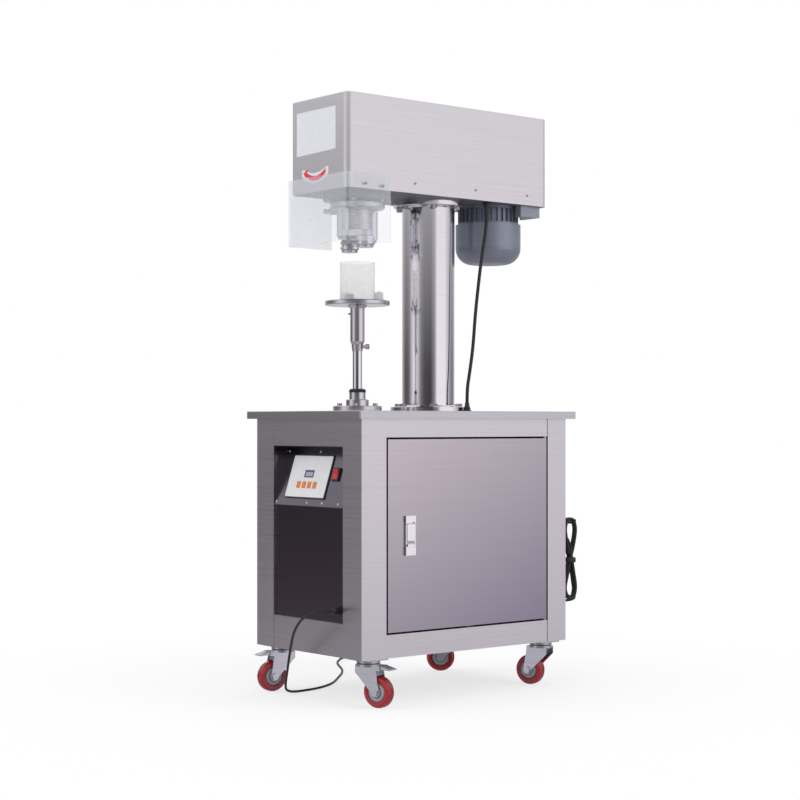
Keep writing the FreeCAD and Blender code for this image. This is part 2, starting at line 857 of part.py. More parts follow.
def head():
    """The bottom casting with its spindle housing and bridge, and the folded cover over it."""
    half = head_width / 2
    inner_half = half - head_sheet
    y0, y1 = head_front + head_sheet, head_back - head_sheet
    z0 = head_bottom
    z1 = z0 + base_plate_thickness
    inner_radius = head_corner_radius - head_sheet
    plate = rounded_block(-inner_half, inner_half, y0, y1, z0, z1, inner_radius)
    flange = disc(spindle_flange_radius, z0 - spindle_flange_thickness, z1, post_at)
    barrel = disc(spindle_barrel_radius, z0, z0 + pulley_level - touch_gap, post_at)
    bridge_top = z1 + bridge_height
    legs = [
        box(s * bridge_half, s * (bridge_half + 16), post_y - 15, post_y + 15, z1, bridge_top)
        for s in (-1, 1)
    ]
    beam = box(-bridge_half - 16, bridge_half + 16, post_y - 15, post_y + 15,
               bridge_top - 16, bridge_top)
    casting = fused([plate, flange, barrel, *legs, beam])
    casting = cut_all(
        casting,
        [
            disc(hub_radius + running_gap, z0 - 40, z0 + pulley_level + 1, post_at),
            disc(centre_shaft_radius + running_gap, bridge_top - 20, bridge_top + 1, post_at),
            disc(motor_shaft_radius + 5, z0 - 1, z1 + 1, motor_at),
        ],
    )
    keep("head_base", casting)

    outer = rounded_block(-half, half, head_front, head_back, z0, head_top, head_corner_radius)
    rim = [e for e in outer.Edges if e.BoundBox.ZMin > head_top - 1e-6]
    outer = outer.makeFillet(3.0, rim)
    hollow = rounded_block(-inner_half, inner_half, y0, y1, z0 - 1, head_top - head_sheet,
                           inner_radius)
    keep("head_cover", outer.cut(hollow))


def chuck():
    """The fixed seaming chuck on its centre shaft, which hangs from the bridge in the head."""
    top = head_bottom + base_plate_thickness + bridge_height
    z0 = head_bottom - chuck_bottom
    z1 = head_bottom - chuck_top
    solid = revolved(
        [
            (0, z0),
            (chuck_radius - 4, z0),
            (chuck_radius, z0 + 6),
            (chuck_radius, z0 + 12),
            (chuck_radius - 8, z1),
            (20, z1 + 4),
            (18, z1 + 16),
            (centre_shaft_radius, z1 + 16),
            (centre_shaft_radius, top),
            (20, top),
            (20, top + 10),
            (0, top + 10),
        ],
        post_at,
    )
    keep("chuck", solid)


def lever_pivot(index):
    return polar(pivot_reach, roller_angle + 180 * index - pivot_lag, post_at)


def roller_centre(index):
    return polar(roller_reach, roller_angle + 180 * index, post_at)


def turret():
    """The turning head: driven pulley, hub through the housing, disc and two pivot shafts."""
    top = head_bottom + pulley_level
    z_disc_top = head_bottom - turret_top
    z_disc_bottom = head_bottom - turret_bottom
    pulley = revolved(
        [
            (0, top),
            (turret_pulley_radius + 5, top),
            (turret_pulley_radius + 5, top + 2),
            (turret_pulley_radius, top + 2),
            (turret_pulley_radius, top + pulley_height - 2),
            (turret_pulley_radius + 5, top + pulley_height - 2),
            (turret_pulley_radius + 5, top + pulley_height),
            (0, top + pulley_height),
        ],
        post_at,
    )
    hub = disc(hub_radius, z_disc_bottom, top, post_at)
    plate = revolved(
        [
            (0, z_disc_bottom),
            (turret_radius - 3, z_disc_bottom),
            (turret_radius, z_disc_bottom + 3),
            (turret_radius, z_disc_top),
            (0, z_disc_top),
        ],
        post_at,
    )
    lower = disc(lower_hub_radius, head_bottom - lower_hub_depth, z_disc_bottom, post_at)
    solids = [pulley, hub, plate, lower]
    pin_bottom = head_bottom - roller_top - pivot_nut_height
    for i in range(2):
        at = lever_pivot(i)
        solids.append(disc(pivot_radius, pin_bottom, z_disc_top, at))
        nut_top = pin_bottom + pivot_nut_height - touch_gap
        solids.append(hexagon(pivot_nut_radius, pin_bottom, nut_top, at))
    bore = disc(centre_shaft_radius + running_gap, head_bottom - 100, top + pulley_height + 1, post_at)
    keep("turret", fused(solids).cut(bore))


def seaming_lever(index):
    """A lever on its pivot: sleeve, lower arm with the roller's pin, upper arm with its knob."""
    pivot = lever_pivot(index)
    roller = roller_centre(index)
    z_low = head_bottom - roller_top + touch_gap
    z_arm = head_bottom - lever_arm_top
    sleeve = disc(lever_sleeve_radius, z_low, head_bottom - lever_sleeve_top, pivot)
    arm = belt_outline(pivot, lever_sleeve_radius - 1, roller, roller_cap_radius - 4, z_low, z_arm)
    pin_end = head_bottom - roller_bottom - touch_gap
    pin = disc(roller_pin_radius, pin_end - 1, z_arm, roller)
    cap = disc(roller_cap_radius, pin_end - roller_cap_height, pin_end, roller)
    scallops = [
        disc(4.0, pin_end - roller_cap_height - 1, pin_end + 1,
             polar(roller_cap_radius + 1.5, 45 * i, roller))
        for i in range(8)
    ]
    cap = cut_all(cap, scallops)
    outward = upper_arm_bearings[index]
    z_top = head_bottom - upper_arm_top
    z_mid = z_top - upper_arm_height / 2
    arm_block = box(0, upper_arm_reach, -10, 10, z_top - upper_arm_height, z_top)
    arm_block.rotate(Vector(0, 0, 0), Z_AXIS, outward)
    arm_block.translate(Vector(pivot.x, pivot.y, 0))
    screw = rod(4.0, polar(20, outward, pivot, z_mid), polar(knob_reach, outward, pivot, z_mid))
    lock_nut = rod(
        8.0, polar(upper_arm_reach - 1, outward, pivot, z_mid),
        polar(upper_arm_reach + 4, outward, pivot, z_mid),
    )
    knob = Part.makeSphere(knob_radius, polar(knob_reach, outward, pivot, z_mid))
    lever = fused([sleeve, arm, pin, cap, arm_block, screw, lock_nut, knob])
    bore = disc(pivot_radius + running_gap, z_low - 1, head_bottom - lever_sleeve_top + 1, pivot)
    keep(f"roller_lever_{index + 1}", lever.cut(bore))

    z0, z1 = head_bottom - roller_bottom, head_bottom - roller_top
    middle = (z0 + z1) / 2
    wheel = revolved(
        [
            (roller_pin_radius + running_gap, z0),
            (roller_radius - 2, z0),
            (roller_radius, z0 + 2),
            (roller_radius, middle - 4),
            (roller_radius - roller_groove_depth, middle - 1.5),
            (roller_radius - roller_groove_depth, middle + 1.5),
            (roller_radius, middle + 4),
            (roller_radius, z1 - 2),
            (roller_radius - 2, z1),
            (roller_pin_radius + running_gap, z1),
        ],
        roller,
    )
    keep(f"seaming_roller_{index + 1}", wheel)


def belt_drive():
    top = head_bottom + pulley_level
    mid = top + pulley_height / 2
    z0, z1 = mid - belt_width / 2, mid + belt_width / 2
    inner = touch_gap
    outer = touch_gap + belt_thickness
    loop = belt_outline(
        post_at, turret_pulley_radius + outer, motor_at, motor_pulley_radius + outer, z0, z1
    )
    core = belt_outline(
        post_at, turret_pulley_radius + inner, motor_at, motor_pulley_radius + inner, z0 - 1, z1 + 1
    )
    keep("drive_belt", loop.cut(core))
    shaft_bottom = head_bottom - motor_body_height + 8 + touch_gap
    solid = fused(
        [
            disc(motor_shaft_radius, shaft_bottom, top + pulley_height + 6, motor_at),
            disc(motor_pulley_radius, top, top + pulley_height, motor_at),
            disc(motor_pulley_radius + 5, top, top + 2, motor_at),
            disc(motor_pulley_radius + 5, top + pulley_height - 2, top + pulley_height, motor_at),
        ]
    )
    keep("motor_pulley", solid)


# ------------------------------------------------------------------ motor
def motor():
    z1 = head_bottom
    z0 = z1 - motor_body_height
    core = disc(motor_radius - fin_depth, z0, z1, motor_at)
    rims = [disc(motor_radius, z0, z0 + 5, motor_at), disc(motor_radius, z1 - 6, z1, motor_at)]
    fin = box(motor_radius - fin_depth - 2, motor_radius, -fin_thickness / 2, fin_thickness / 2,
              z0, z1)
    fin.translate(motor_at)
    fins = [around(fin, 360.0 * i / motor_fins, motor_at) for i in range(motor_fins)]
    body = fused([core, *rims, *fins])
    keep("motor_body", body.cut(disc(motor_shaft_radius + running_gap, z0 + 8, z1 + 1, motor_at)))

    bottom = z0 - cowl_height
    keep("motor_cowl", cowl_shell(bottom, z0))

    half_low, half_high = box_reach - 72, box_reach
    junction = rounded_block(half_low, half_high, motor_y + 20, motor_y + 93,
                             z1 - box_height, z1, 4.0)
    keep("motor_box", junction.cut(disc(cowl_radius + 1.5, z1 - box_height - 1, z1 + 1, motor_at)))


def cowl_shell(bottom, top):
    """The motor's domed cowl, open at the top where it meets the finned body."""
    def half_outline(radius, low, rounding):
        steps = 8
        turn = [math.radians(90 * i / steps) for i in range(steps + 1)]
        curve = [
            (radius - rounding + rounding * math.sin(a), low + rounding - rounding * math.cos(a))
            for a in turn
        ]
        return revolved([(0, low), *curve, (radius, top), (0, top)])

    outer = half_outline(cowl_radius, bottom, cowl_rounding)
    inner = half_outline(cowl_radius - cowl_sheet, bottom + cowl_sheet, cowl_rounding - cowl_sheet)
    seat = ring(cowl_radius - cowl_sheet / 2, motor_radius - 6, top - 3, top)
    shell = fused([outer.cut(inner), seat])
    shell.translate(motor_at)
    return shell


# ------------------------------------------------------------------ guard
def guard():
    """A clear bent sheet round the front and both sides of the turret."""
    inner_half = head_width / 2 + touch_gap
    outer_half = inner_half + guard_thickness
    y_in = head_front - touch_gap
    y_out = y_in - guard_thickness
    y_end = y_out + guard_length
    z0, z1 = head_bottom - guard_drop, head_bottom + guard_rise
    outer = rounded_block(-outer_half, outer_half, y_out, y_end + 20, z0, z1, guard_corner_radius)
    inner = rounded_block(
        -inner_half, inner_half, y_in, y_end + 30, z0 - 1, z1 + 1,
        guard_corner_radius - guard_thickness,
    )
    trim = box(-outer_half - 1, outer_half + 1, y_end, y_end + 40, z0 - 1, z1 + 1)
    keep("guard", outer.cut(inner).cut(trim))


# ------------------------------------------------------------------ casters
wheel_axle_z = floor_z + wheel_radius


def caster(name):
    """One swivel caster: fork with its axle and king pin, and the wheel."""
    side = -1 if "left" in name else 1
    y = front + caster_inset_y if "front" in name else back - caster_inset_y
    at = Vector(side * (half_width - caster_inset_x), y, 0)
    yaw = caster_yaws[name]

    plate_z = cabinet_bottom - plate_thickness
    half = plate_size / 2
    plate = rounded_block(at.x - half, at.x + half, at.y - half, at.y + half, plate_z, cabinet_bottom,
                          6.0)
    race_bottom = plate_z - race_height
    race = revolved(
        [
            (king_pin_radius + running_gap, race_bottom),
            (race_radius - 3, race_bottom),
            (race_radius, race_bottom + 3),
            (race_radius, plate_z),
            (king_pin_radius + running_gap, plate_z),
        ],
        at,
    )
    top_plate = fused([plate, race])

    crown_top = race_bottom - touch_gap
    crown_bottom = crown_top - fork_top_height
    inner = wheel_width / 2 + 1.5
    legs = []
    for s in (-1, 1):
        y_leg = s * (inner + fork_sheet / 2)
        axle = Vector(caster_trail, 0, wheel_axle_z)
        outline = [
            Vector(-race_radius + 2, 0, crown_top - 2),
            Vector(race_radius + 4, 0, crown_top - 2),
            Vector(race_radius + 4, 0, crown_bottom - 6),
            Vector(caster_trail + 11, 0, wheel_axle_z + 4),
            Vector(caster_trail + 6, 0, wheel_axle_z - 10),
            Vector(caster_trail - 6, 0, wheel_axle_z - 10),
            Vector(caster_trail - 12, 0, wheel_axle_z),
            Vector(-race_radius + 2, 0, crown_bottom - 14),
        ]
        leg = Part.Face(Part.makePolygon(outline + outline[:1])).extrude(Vector(0, fork_sheet, 0))
        leg.translate(Vector(0, y_leg - fork_sheet / 2, 0))
        legs.append(leg)
    crown = box(-race_radius + 2, race_radius + 4, -inner - fork_sheet, inner + fork_sheet,
                crown_bottom, crown_top - 2)
    lower_race = disc(race_radius + 1, crown_bottom + 2, crown_top)
    king_pin = disc(king_pin_radius, crown_bottom, plate_z - touch_gap)
    outer = inner + fork_sheet
    axle_bolt = rod(wheel_bore_radius, Vector(caster_trail, -outer - 3, wheel_axle_z),
                    Vector(caster_trail, outer + 3, wheel_axle_z))
    heads = [
        rod(9.0, Vector(caster_trail, s * outer, wheel_axle_z),
            Vector(caster_trail, s * (outer + 4.5), wheel_axle_z))
        for s in (-1, 1)
    ]
    solids = [crown, lower_race, king_pin, axle_bolt, *legs, *heads]
    if name in braked:
        ear = box(race_radius - 2, race_radius + 16, -inner - fork_sheet, inner + fork_sheet,
                  crown_bottom - 6, crown_top - 2)
        slot = box(race_radius + 4, race_radius + 17, -inner, inner, crown_bottom - 7, crown_top)
        solids.append(ear.cut(slot))
    fork = fused(solids)
    if name in braked:
        hinge = brake_hinge()
        hole = rod(3.0 + running_gap, hinge - Y_AXIS * 40, hinge + Y_AXIS * 40)
        fork = fork.cut(hole)
        keep(f"brake_pedal_{name}", placed(brake_pedal(inner), at, yaw))
    keep(f"caster_fork_{name}", placed(fork, at, yaw))

    w = wheel_width / 2
    hub = wheel_radius - 13
    outline = [
        (wheel_bore_radius + running_gap, -w - 1.2),
        (13, -w - 1.2),
        (15, -w + 2.5),
        (hub - 3, -w + 3.5),
        (hub, -w + 0.8),
        (wheel_radius - 7, -w),
        (wheel_radius - 2.5, -w + 3),
        (wheel_radius, -w + 8),
        (wheel_radius, w - 8),
        (wheel_radius - 2.5, w - 3),
        (wheel_radius - 7, w),
        (hub, w - 0.8),
        (hub - 3, w - 3.5),
        (15, w - 2.5),
        (13, w + 1.2),
        (wheel_bore_radius + running_gap, w + 1.2),
    ]
    wheel = revolved(outline)
    wheel.rotate(Vector(0, 0, 0), X_AXIS, 90)
    wheel.translate(Vector(caster_trail, 0, wheel_axle_z))
    keep(f"caster_wheel_{name}", placed(wheel, at, yaw))
    return top_plate


def brake_hinge():
    """The brake pedal's hinge line, in the caster's own frame."""
    crown_top = cabinet_bottom - plate_thickness - race_height - touch_gap
    return Vector(race_radius + 11, 0, crown_top - fork_top_height / 2 - 3)


def brake_pedal(inner):
    """A toe pedal over the wheel, on a pin between the fork's ears."""
    hinge = brake_hinge()
    half = inner - touch_gap
    outline = [
        Vector(hinge.x - 5, -half, hinge.z + 3.5),
        Vector(hinge.x + 5, -half, hinge.z + 4.5),
        Vector(hinge.x + 33, -half, hinge.z - 2.5),
        Vector(hinge.x + 34, -half, hinge.z - 5.5),
        Vector(hinge.x + 14, -half, hinge.z - 4.5),
        Vector(hinge.x - 5, -half, hinge.z - 4.0),
    ]
    blade = Part.Face(Part.makePolygon(outline + outline[:1])).extrude(Vector(0, 2 * half, 0))
    pin = rod(3.0, hinge - Y_AXIS * (inner + fork_sheet), hinge + Y_AXIS * (inner + fork_sheet))
    return fused([blade, pin])


def placed(shape, at, yaw):
    """Carry a shape from the caster's own frame, trailing along +X, to its place."""
    moved = shape.copy()
    moved.Placement = Placement(at, Rotation(Z_AXIS, yaw)).multiply(moved.Placement)
    return moved


# ------------------------------------------------------------------ cords
foot_lead_diameter = 6.5
motor_cable_diameter = 9.0
mains_diameter = 7.0


def tube(points, diameter):
    """A cord along straight runs joined by arcs as large as the runs allow."""
    path = []
    radii = []
    start = points[0]
    for before, corner, after in zip(points, points[1:], points[2:]):
        into, out = (corner - before), (after - corner)
        half_turn = into.getAngle(out) / 2
        tangent = 0.45 * min(into.Length, out.Length)
        into.normalize()
        out.normalize()
        a = corner - into * tangent
        b = corner + out * tangent
        radius = tangent / math.tan(half_turn)
        radii.append(radius)
        bisector = (out - into).normalize()
        centre = corner + bisector * math.hypot(radius, tangent)
        path.append(Part.makeLine(start, a))
        path.append(Part.Arc(a, centre - bisector * radius, b).toShape())
        start = b
    path.append(Part.makeLine(start, points[-1]))
    spine = Part.Wire(path)
    section = Part.Wire(Part.makeCircle(diameter / 2, points[0], points[1] - points[0]))
    solid = spine.makePipeShell([section], True, False)
    ideal = math.pi * diameter**2 / 4 * spine.Length
    print(f"cord {spine.Length:.0f} mm, tightest {min(radii):.1f} mm, volume {solid.Volume / ideal:.4f}")
    return solid


gland_x, gland_z = 127.0, 240.0
gland_length = 43.0
gland_tip = Vector(gland_x, lower_panel_y - gland_length, gland_z)
cable_top = Vector(100.0, front + 529.0, head_bottom)
cable_bottom = Vector(104.0, front + 455.0, table_top)
cable_gland_length = 24.0
mains_gland = Vector(95.0, back - rail_setback, 215.0)
mains_gland_length = 26.0

# foot switch on the floor at the end of its lead
switch_centre = Vector(-555.0, front + 665.0, 0)
switch_width, switch_length = 90.0, 140.0
switch_base_height = 12.0
switch_boss_length, switch_boss_height = 15.0, 18.0
pedal_pin_radius = 3.0
pedal_hinge = Vector(switch_centre.x, switch_centre.y + 58, 26.0)

# hank of mains lead on its hook
hank_x, hank_thickness = 202.0, 25.0
hank_y = back + 40.0
hank_top_z, hank_tie_z, hank_low_z = 453.0, 333.0, 227.0
hank_top_radius, hank_tie_radius, hank_low_radius = 25.0, 10.0, 29.0
hank_ring = 11.0
plug_at = Vector(150.0, back + 32.0, 330.0)
plug_length, plug_radius = 46.0, 18.0


def foot_lead():
    r = foot_lead_diameter / 2
    f = front
    points = [
        gland_tip,
        gland_tip - Y_AXIS * 21,
        Vector(115.0, f - 74, 236.0),
        Vector(90.0, f - 82, 223.0),
        Vector(60.0, f - 76, 203.0),
        Vector(28.0, f - 65, 177.0),
        Vector(2.0, f - 52, 150.0),
        Vector(-22.0, f - 40, 121.0),
        Vector(-44.0, f - 29, 88.0),
        Vector(-66.0, f - 18, 57.0),
        Vector(-88.0, f - 6, 30.0),
        Vector(-110.0, f + 12, 11.0),
        Vector(-119.0, f + 42, floor_z + r),
        Vector(-122.0, f + 84, floor_z + r),
        Vector(-131.0, f + 129, floor_z + r),
        Vector(-152.0, f + 176, floor_z + r),
        Vector(-182.0, f + 220, floor_z + r),
        Vector(-222.0, f + 262, floor_z + r),
        Vector(-264.0, f + 303, floor_z + r),
        Vector(-306.0, f + 345, floor_z + r),
        Vector(-350.0, f + 383, floor_z + r),
        Vector(-396.0, f + 415, floor_z + r),
        Vector(-444.0, f + 443, floor_z + r),
        Vector(-490.0, f + 471, floor_z + r),
        Vector(-528.0, f + 502, floor_z + r + 1),
        Vector(switch_centre.x, f + 542, 9.5),
        Vector(switch_centre.x, switch_centre.y - switch_length / 2 - switch_boss_length, 9.5),
    ]
    keep("foot_lead", tube(points, foot_lead_diameter))


def foot_switch():
    """A low base with two ears, and a sprung pedal on a pin between them."""
    x, y = switch_centre.x, switch_centre.y
    half_w, half_l = switch_width / 2, switch_length / 2
    base = rounded_block(x - half_w, x + half_w, y - half_l, y + half_l, 0, switch_base_height, 12.0)
    boss = box(x - 12, x + 12, y - half_l - switch_boss_length, y - half_l + 14,
               0, switch_boss_height)
    ears = []
    for s in (-1, 1):
        ear = box(x + s * (half_w - 2), x + s * (half_w - 7), pedal_hinge.y - 9, pedal_hinge.y + 9,
                  switch_base_height - 1, pedal_hinge.z + 8)
        ears.append(ear)
    base = fused([base, boss, *ears])
    hole = rod(pedal_pin_radius + running_gap, pedal_hinge - X_AXIS * half_w,
               pedal_hinge + X_AXIS * half_w)
    keep("foot_switch_base", base.cut(hole))

    inner = half_w - 7 - touch_gap
    toe = y - half_l + 18
    outline = [
        (pedal_hinge.y + 8, pedal_hinge.z - 8),
        (pedal_hinge.y + 8, pedal_hinge.z + 4),
        (pedal_hinge.y - 2, pedal_hinge.z + 8),
        (toe + 4, 35.0),
        (toe, 31.0),
        (toe, 24.0),
        (toe + 6, 23.0),
        (pedal_hinge.y - 20, 17.0),
        (pedal_hinge.y - 4, 17.0),
    ]
    points = [Vector(x - inner, py, pz) for py, pz in outline]
    pedal = Part.Face(Part.makePolygon(points + points[:1])).extrude(Vector(2 * inner, 0, 0))
    long_edges = [e for e in pedal.Edges if abs(e.BoundBox.XLength - 2 * inner) < 1e-6]
    pedal = pedal.makeFillet(1.5, [e for e in long_edges if e.BoundBox.ZMin > 30])
    pin = rod(pedal_pin_radius, pedal_hinge - X_AXIS * (half_w - 2.5),
              pedal_hinge + X_AXIS * (half_w - 2.5))
    keep("foot_pedal", fused([pedal, pin]))


def motor_cable():
    points = [
        cable_top - Z_AXIS * cable_gland_length,
        cable_top - Z_AXIS * 62,
        Vector(100.0, front + 512.5, head_bottom - 144),
        Vector(100.0, front + 503, head_bottom - 199),
        Vector(100.5, front + 487.5, head_bottom - 304),
        Vector(100.0, front + 480, head_bottom - 394),
        Vector(101.5, front + 465, head_bottom - 470),
        cable_bottom + Z_AXIS * 62,
        cable_bottom + Z_AXIS * cable_gland_length,
    ]
    keep("motor_cable", tube(points, motor_cable_diameter))


def turned_fitting(profile, base, direction):
    """A round fitting turned from (radius, distance) points along `direction` from `base`."""
    solid = revolved(profile)
    spin = Rotation(Z_AXIS, direction)
    solid.Placement = Placement(base, spin).multiply(solid.Placement)
    return solid


def cable_gland(base, direction, length, cord_diameter, nut_radius):
    """A screwed cable gland: hexagon, dome nut and a tapered strain relief."""
    bore = cord_diameter / 2
    return turned_fitting(
        [
            (0, 0),
            (nut_radius + 3, 0),
            (nut_radius + 3, 3),
            (nut_radius, 3),
            (nut_radius, 0.45 * length),
            (nut_radius - 2, 0.55 * length),
            (bore + 2.2, 0.62 * length),
            (bore + 1.0, length),
            (0, length),
        ],
        base,
        direction,
    )


def mains_cord():
    """The mains lead from its gland to the hank, the hank, and the tail that carries the plug."""
    tip = mains_gland + Vector(0, mains_gland_length, 0)
    lead = [
        tip,
        tip + Vector(0, 26, 0),
        tip + Vector(13, 50, 0),
        tip + Vector(37, 63, 1),
        tip + Vector(63, 66, 5),
        tip + Vector(87, 56, 15),
        tip + Vector(102, 38, 32),
    ]
    tail = [
        Vector(hank_x - 8, hank_y - 6, hank_tie_z + 66),
        Vector(hank_x - 26, hank_y - 8, hank_tie_z + 61),
        Vector(hank_x - 43, hank_y - 8.6, hank_tie_z + 46),
        Vector(plug_at.x, plug_at.y, hank_tie_z + 24),
        plug_at,
    ]
    keep("mains_lead", tube(lead, mains_diameter), tube(tail, mains_diameter))


def hank_profile(margin):
    """Hull outlines of the upper and the lower half of the hank, seen along X."""
    top = Vector(-(hank_top_z - hank_top_radius), hank_y, 0)
    tie = Vector(-hank_tie_z, hank_y, 0)
    low = Vector(-(hank_low_z + hank_low_radius), hank_y, 0)
    x0, x1 = hank_x - hank_thickness / 2 - margin, hank_x + hank_thickness / 2 + margin
    shrink = hank_ring if margin else 0
    narrow = 1.5 if margin else hank_tie_radius
    near_top = tie + Vector(-14 if margin else 0, 0, 0)
    near_low = tie + Vector(14 if margin else 0, 0, 0)
    halves = [
        belt_outline(near_top, narrow, top, hank_top_radius - shrink, x0, x1),
        belt_outline(near_low, narrow, low, hank_low_radius - shrink, x0, x1),
    ]
    for half in halves:
        half.rotate(Vector(0, 0, 0), Y_AXIS, 90)
    return halves


def mains_hank():
    keep("mains_hank", cut_all(fused(hank_profile(0)), hank_profile(1.0)))


def mains_plug():
    """A moulded plug that hangs from the tail, with two pins."""
    low = plug_at.z - plug_length
    body = revolved(
        [
            (0, plug_at.z),
            (mains_diameter / 2 + 2, plug_at.z),
            (mains_diameter / 2 + 4, plug_at.z - 14),
            (plug_radius - 3, plug_at.z - 18),
            (plug_radius, plug_at.z - 24),
            (plug_radius, low + 2),
            (plug_radius - 2, low),
            (0, low),
        ],
        plug_at,
    )
    pins = [disc(2.4, low - 19, low, plug_at + X_AXIS * s * 9.5) for s in (-1, 1)]
    keep("mains_plug", fused([body, *pins]))


def cord_hook():
    """A bent rod from the rear post that the hank hangs on."""
    z = hank_top_z - hank_ring - 4
    base = Vector(hank_x - 19, back, z)
    bend = Vector(hank_x - 19, hank_y, z)
    end = Vector(hank_x + 19, hank_y, z)
    rise = Vector(hank_x + 19, hank_y, z + 10)
    rods = [rod(3.0, base, bend), rod(3.0, bend, end), rod(3.0, end, rise)]
    joints = [Part.makeSphere(3.0, bend), Part.makeSphere(3.0, end)]
    return fused([rod(8.0, base, base + Y_AXIS * 3), *rods, *joints])


def cable_fittings():
    """Glands for the foot lead, the motor cable and the mains lead, and the hank's hook."""
    glands = [
        cable_gland(Vector(gland_x, lower_panel_y, gland_z), Vector(0, -1, 0), gland_length,
                    foot_lead_diameter, 9.0),
        cable_gland(cable_top, Vector(0, 0, -1), cable_gland_length, motor_cable_diameter, 9.0),
        cable_gland(cable_bottom, Z_AXIS, cable_gland_length, motor_cable_diameter, 9.0),
        cable_gland(mains_gland, Y_AXIS, mains_gland_length, mains_diameter, 9.0),
    ]
    keep("cable_glands", *glands, cord_hook())


def export_all():
    os.makedirs("parts", exist_ok=True)
    for name, shape in parts.items():
        if not shape.isValid():
            print("not valid:", name)
        shape.exportStep(f"parts/{name}.step")
    print(len(parts), "nodes")


cabinet()
front_panel()
control_recess()
control_panel()
power_switch()
door()
door_latch()
lift_post()
tray()
can()
column()
flange_bolts()
head()
chuck()
turret()
seaming_lever(0)
seaming_lever(1)
belt_drive()
motor()
guard()
keep("caster_plates", *[caster(name) for name in caster_yaws])
foot_lead()
foot_switch()
motor_cable()
mains_cord()
mains_hank()
mains_plug()
cable_fittings()
export_all()
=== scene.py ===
import json
import math

import bmesh
import bpy
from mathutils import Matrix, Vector


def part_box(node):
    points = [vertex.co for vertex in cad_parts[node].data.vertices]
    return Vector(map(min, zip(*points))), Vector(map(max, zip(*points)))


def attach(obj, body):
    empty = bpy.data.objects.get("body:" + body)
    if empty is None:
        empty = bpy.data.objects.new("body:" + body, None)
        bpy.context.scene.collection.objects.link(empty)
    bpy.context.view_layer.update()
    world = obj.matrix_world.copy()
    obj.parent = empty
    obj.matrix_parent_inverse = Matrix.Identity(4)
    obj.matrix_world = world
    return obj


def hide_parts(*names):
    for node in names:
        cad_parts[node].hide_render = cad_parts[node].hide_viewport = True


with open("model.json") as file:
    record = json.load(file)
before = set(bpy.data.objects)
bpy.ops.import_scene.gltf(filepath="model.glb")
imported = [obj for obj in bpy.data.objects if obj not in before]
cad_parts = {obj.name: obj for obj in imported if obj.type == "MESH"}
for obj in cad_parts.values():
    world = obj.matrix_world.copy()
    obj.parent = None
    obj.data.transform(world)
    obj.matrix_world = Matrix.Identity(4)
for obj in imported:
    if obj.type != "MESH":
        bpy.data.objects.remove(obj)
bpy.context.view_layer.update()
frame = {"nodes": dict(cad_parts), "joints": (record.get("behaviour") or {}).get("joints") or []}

# ------------------------------------------------------------------ sizes from the frame, metres
MM = 0.001
cover_lo, cover_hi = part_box("head_cover")
guard_lo, guard_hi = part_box("guard")
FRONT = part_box("cabinet_frame")[0][1]
RECESS_LOW, RECESS_DEPTH, RECESS_HEIGHT = 0.498, 0.050, 0.154
SLOPE = math.atan2(RECESS_DEPTH, RECESS_HEIGHT)


